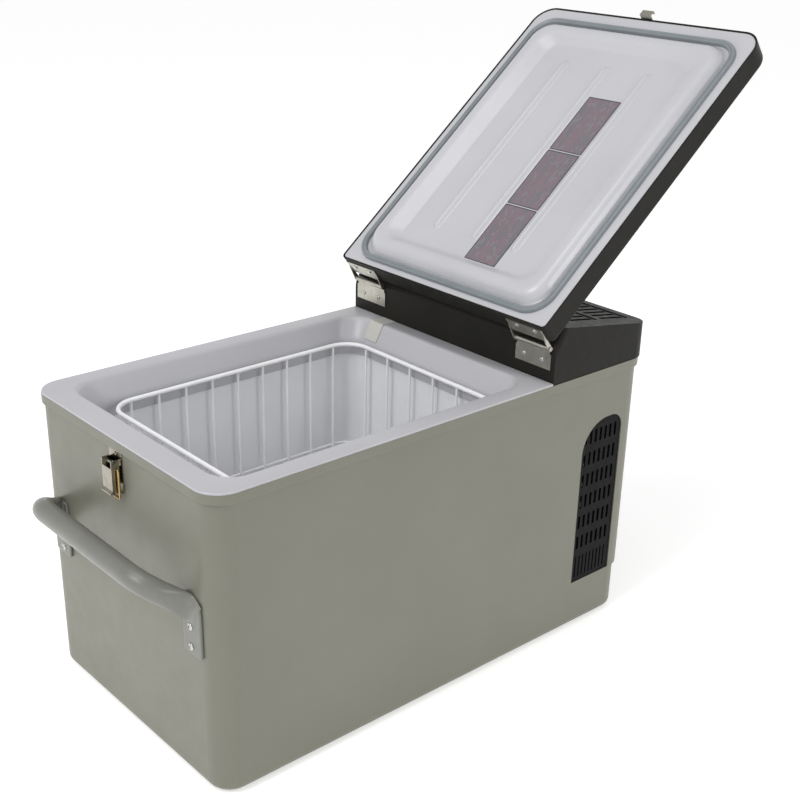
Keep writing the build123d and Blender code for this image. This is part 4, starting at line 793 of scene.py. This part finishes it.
# The dashes: noise stretched along each row, a different stretch of it in every row.
row_place = add(foil_tree, "ShaderNodeMath", {0: foil_y, 1: ROW_PITCH}, operation="DIVIDE").outputs[0]
in_row = add(foil_tree, "ShaderNodeMath", {0: row_place}, operation="FRACT").outputs[0]
row_on = add(foil_tree, "ShaderNodeMath", {0: in_row, 1: 0.5}, operation="LESS_THAN").outputs[0]
row_number = add(foil_tree, "ShaderNodeMath", {0: row_place}, operation="FLOOR").outputs[0]
row_shift = add(foil_tree, "ShaderNodeMath", {0: row_number, 1: ROW_SHIFT}, operation="MULTIPLY").outputs[0]
dash_place = add(foil_tree, "ShaderNodeCombineXYZ", {"X": foil_u, "Y": row_shift}).outputs["Vector"]
dash_noise = add(foil_tree, "ShaderNodeTexNoise", {
    "Vector": dash_place, "Scale": 1 / DASH_LONG, "Detail": 1.0}).outputs["Fac"]
dash_on = add(foil_tree, "ShaderNodeMath", {0: dash_noise, 1: 0.4}, operation="GREATER_THAN").outputs[0]
ink_on = add(foil_tree, "ShaderNodeMath", {0: row_on, 1: dash_on}, operation="MULTIPLY").outputs[0]
ink_cover = add(foil_tree, "ShaderNodeMath", {0: ink_on, 1: INK_COVER}, operation="MULTIPLY").outputs[0]
red_noise = add(foil_tree, "ShaderNodeTexNoise", {
    "Vector": dash_place, "Scale": 1 / RED_LONG, "Detail": 0.0}).outputs["Fac"]
red_on = add(foil_tree, "ShaderNodeMath", {0: red_noise, 1: 0.45}, operation="GREATER_THAN").outputs[0]
ink = add(foil_tree, "ShaderNodeMix", {
    "Factor": red_on, "A": linear("57565C"), "B": linear("80505A")}, data_type="RGBA").outputs["Result"]
ground = add(foil_tree, "ShaderNodeMix", {
    "Factor": speckle(foil_tree, 20), "A": linear("77747A"), "B": linear("7F7C82")}, data_type="RGBA")
printed = add(foil_tree, "ShaderNodeMix", {
    "Factor": ink_cover, "A": ground.outputs["Result"], "B": ink}, data_type="RGBA").outputs["Result"]
# The keyline: whatever is nearer than its width to an edge of its own label.
along = add(foil_tree, "ShaderNodeMath", {0: foil_u, 1: label_u0}, operation="SUBTRACT").outputs[0]
pitches = add(foil_tree, "ShaderNodeMath", {0: along, 1: LABEL_PITCH}, operation="DIVIDE").outputs[0]
in_pitch = add(foil_tree, "ShaderNodeMath", {0: pitches}, operation="FRACT").outputs[0]
in_label = add(foil_tree, "ShaderNodeMath", {0: in_pitch, 1: LABEL_PITCH}, operation="MULTIPLY").outputs[0]
key_lines = []
for place, middle, half in ((in_label, LABEL_LONG / 2, LABEL_LONG / 2), (foil_y, label_middle, label_half)):
    offset = add(foil_tree, "ShaderNodeMath", {0: place, 1: middle}, operation="SUBTRACT").outputs[0]
    from_middle = add(foil_tree, "ShaderNodeMath", {0: offset}, operation="ABSOLUTE").outputs[0]
    key_lines.append(add(foil_tree, "ShaderNodeMath", {
        0: from_middle, 1: half - KEYLINE}, operation="GREATER_THAN").outputs[0])
key_on = add(foil_tree, "ShaderNodeMath", {0: key_lines[0], 1: key_lines[1]}, operation="MAXIMUM").outputs[0]
keyed = add(foil_tree, "ShaderNodeMix", {
    "Factor": key_on, "A": printed, "B": linear("4E4B52")}, data_type="RGBA").outputs["Result"]
foil_shader = add(foil_tree, "ShaderNodeBsdfPrincipled", {
    "Base Color": keyed, "Roughness": 0.42, "Metallic": 0.2})
foil_tree.links.new(foil_shader.outputs["BSDF"], foil_out.inputs["Surface"])
dress(foil, "lid_labels")

# ---- hinges and strike --------------------------------------------------------------
# Nickel-plated steel leaves with a rolled knuckle, a separate pin, and the hooked strike.
# Dull nickel plate: warm grey metal, brushed lightly before plating.
nickel = surface("dull_nickel_plated_steel", ("A7A49A", "B9B6AC"), (0.26, 0.42), (0.6, 0.02), drift_mm=12,
                 shader={"Metallic": 1.0}, stretch=(1, 0.15, 1))
dress(nickel, "hinge_lower_left", "hinge_lower_right", "hinge_upper_left", "hinge_upper_right", "hinge_pins",
      "lid_strike")

# ---- latch --------------------------------------------------------------------------
# A toggle latch: a pressed base riveted to the end wall, a lever, and a wire bail.
# Polished nickel on the pressed parts, and yellow-passivated zinc on the wire.
polished_nickel = surface("polished_nickel_plated_steel", ("8D887C", "A39E90"), (0.1, 0.2), (1.2, 0.01),
                          drift_mm=9, shader={"Metallic": 1.0})
yellow_zinc = surface("yellow_passivated_wire", ("9C8455", "B39B69"), (0.16, 0.3), (0.8, 0.01), drift_mm=6,
                      shader={"Metallic": 1.0})
dress(polished_nickel, "latch_base", "latch_lever", "latch_pin", "latch_rivets")
dress(yellow_zinc, "latch_bail")
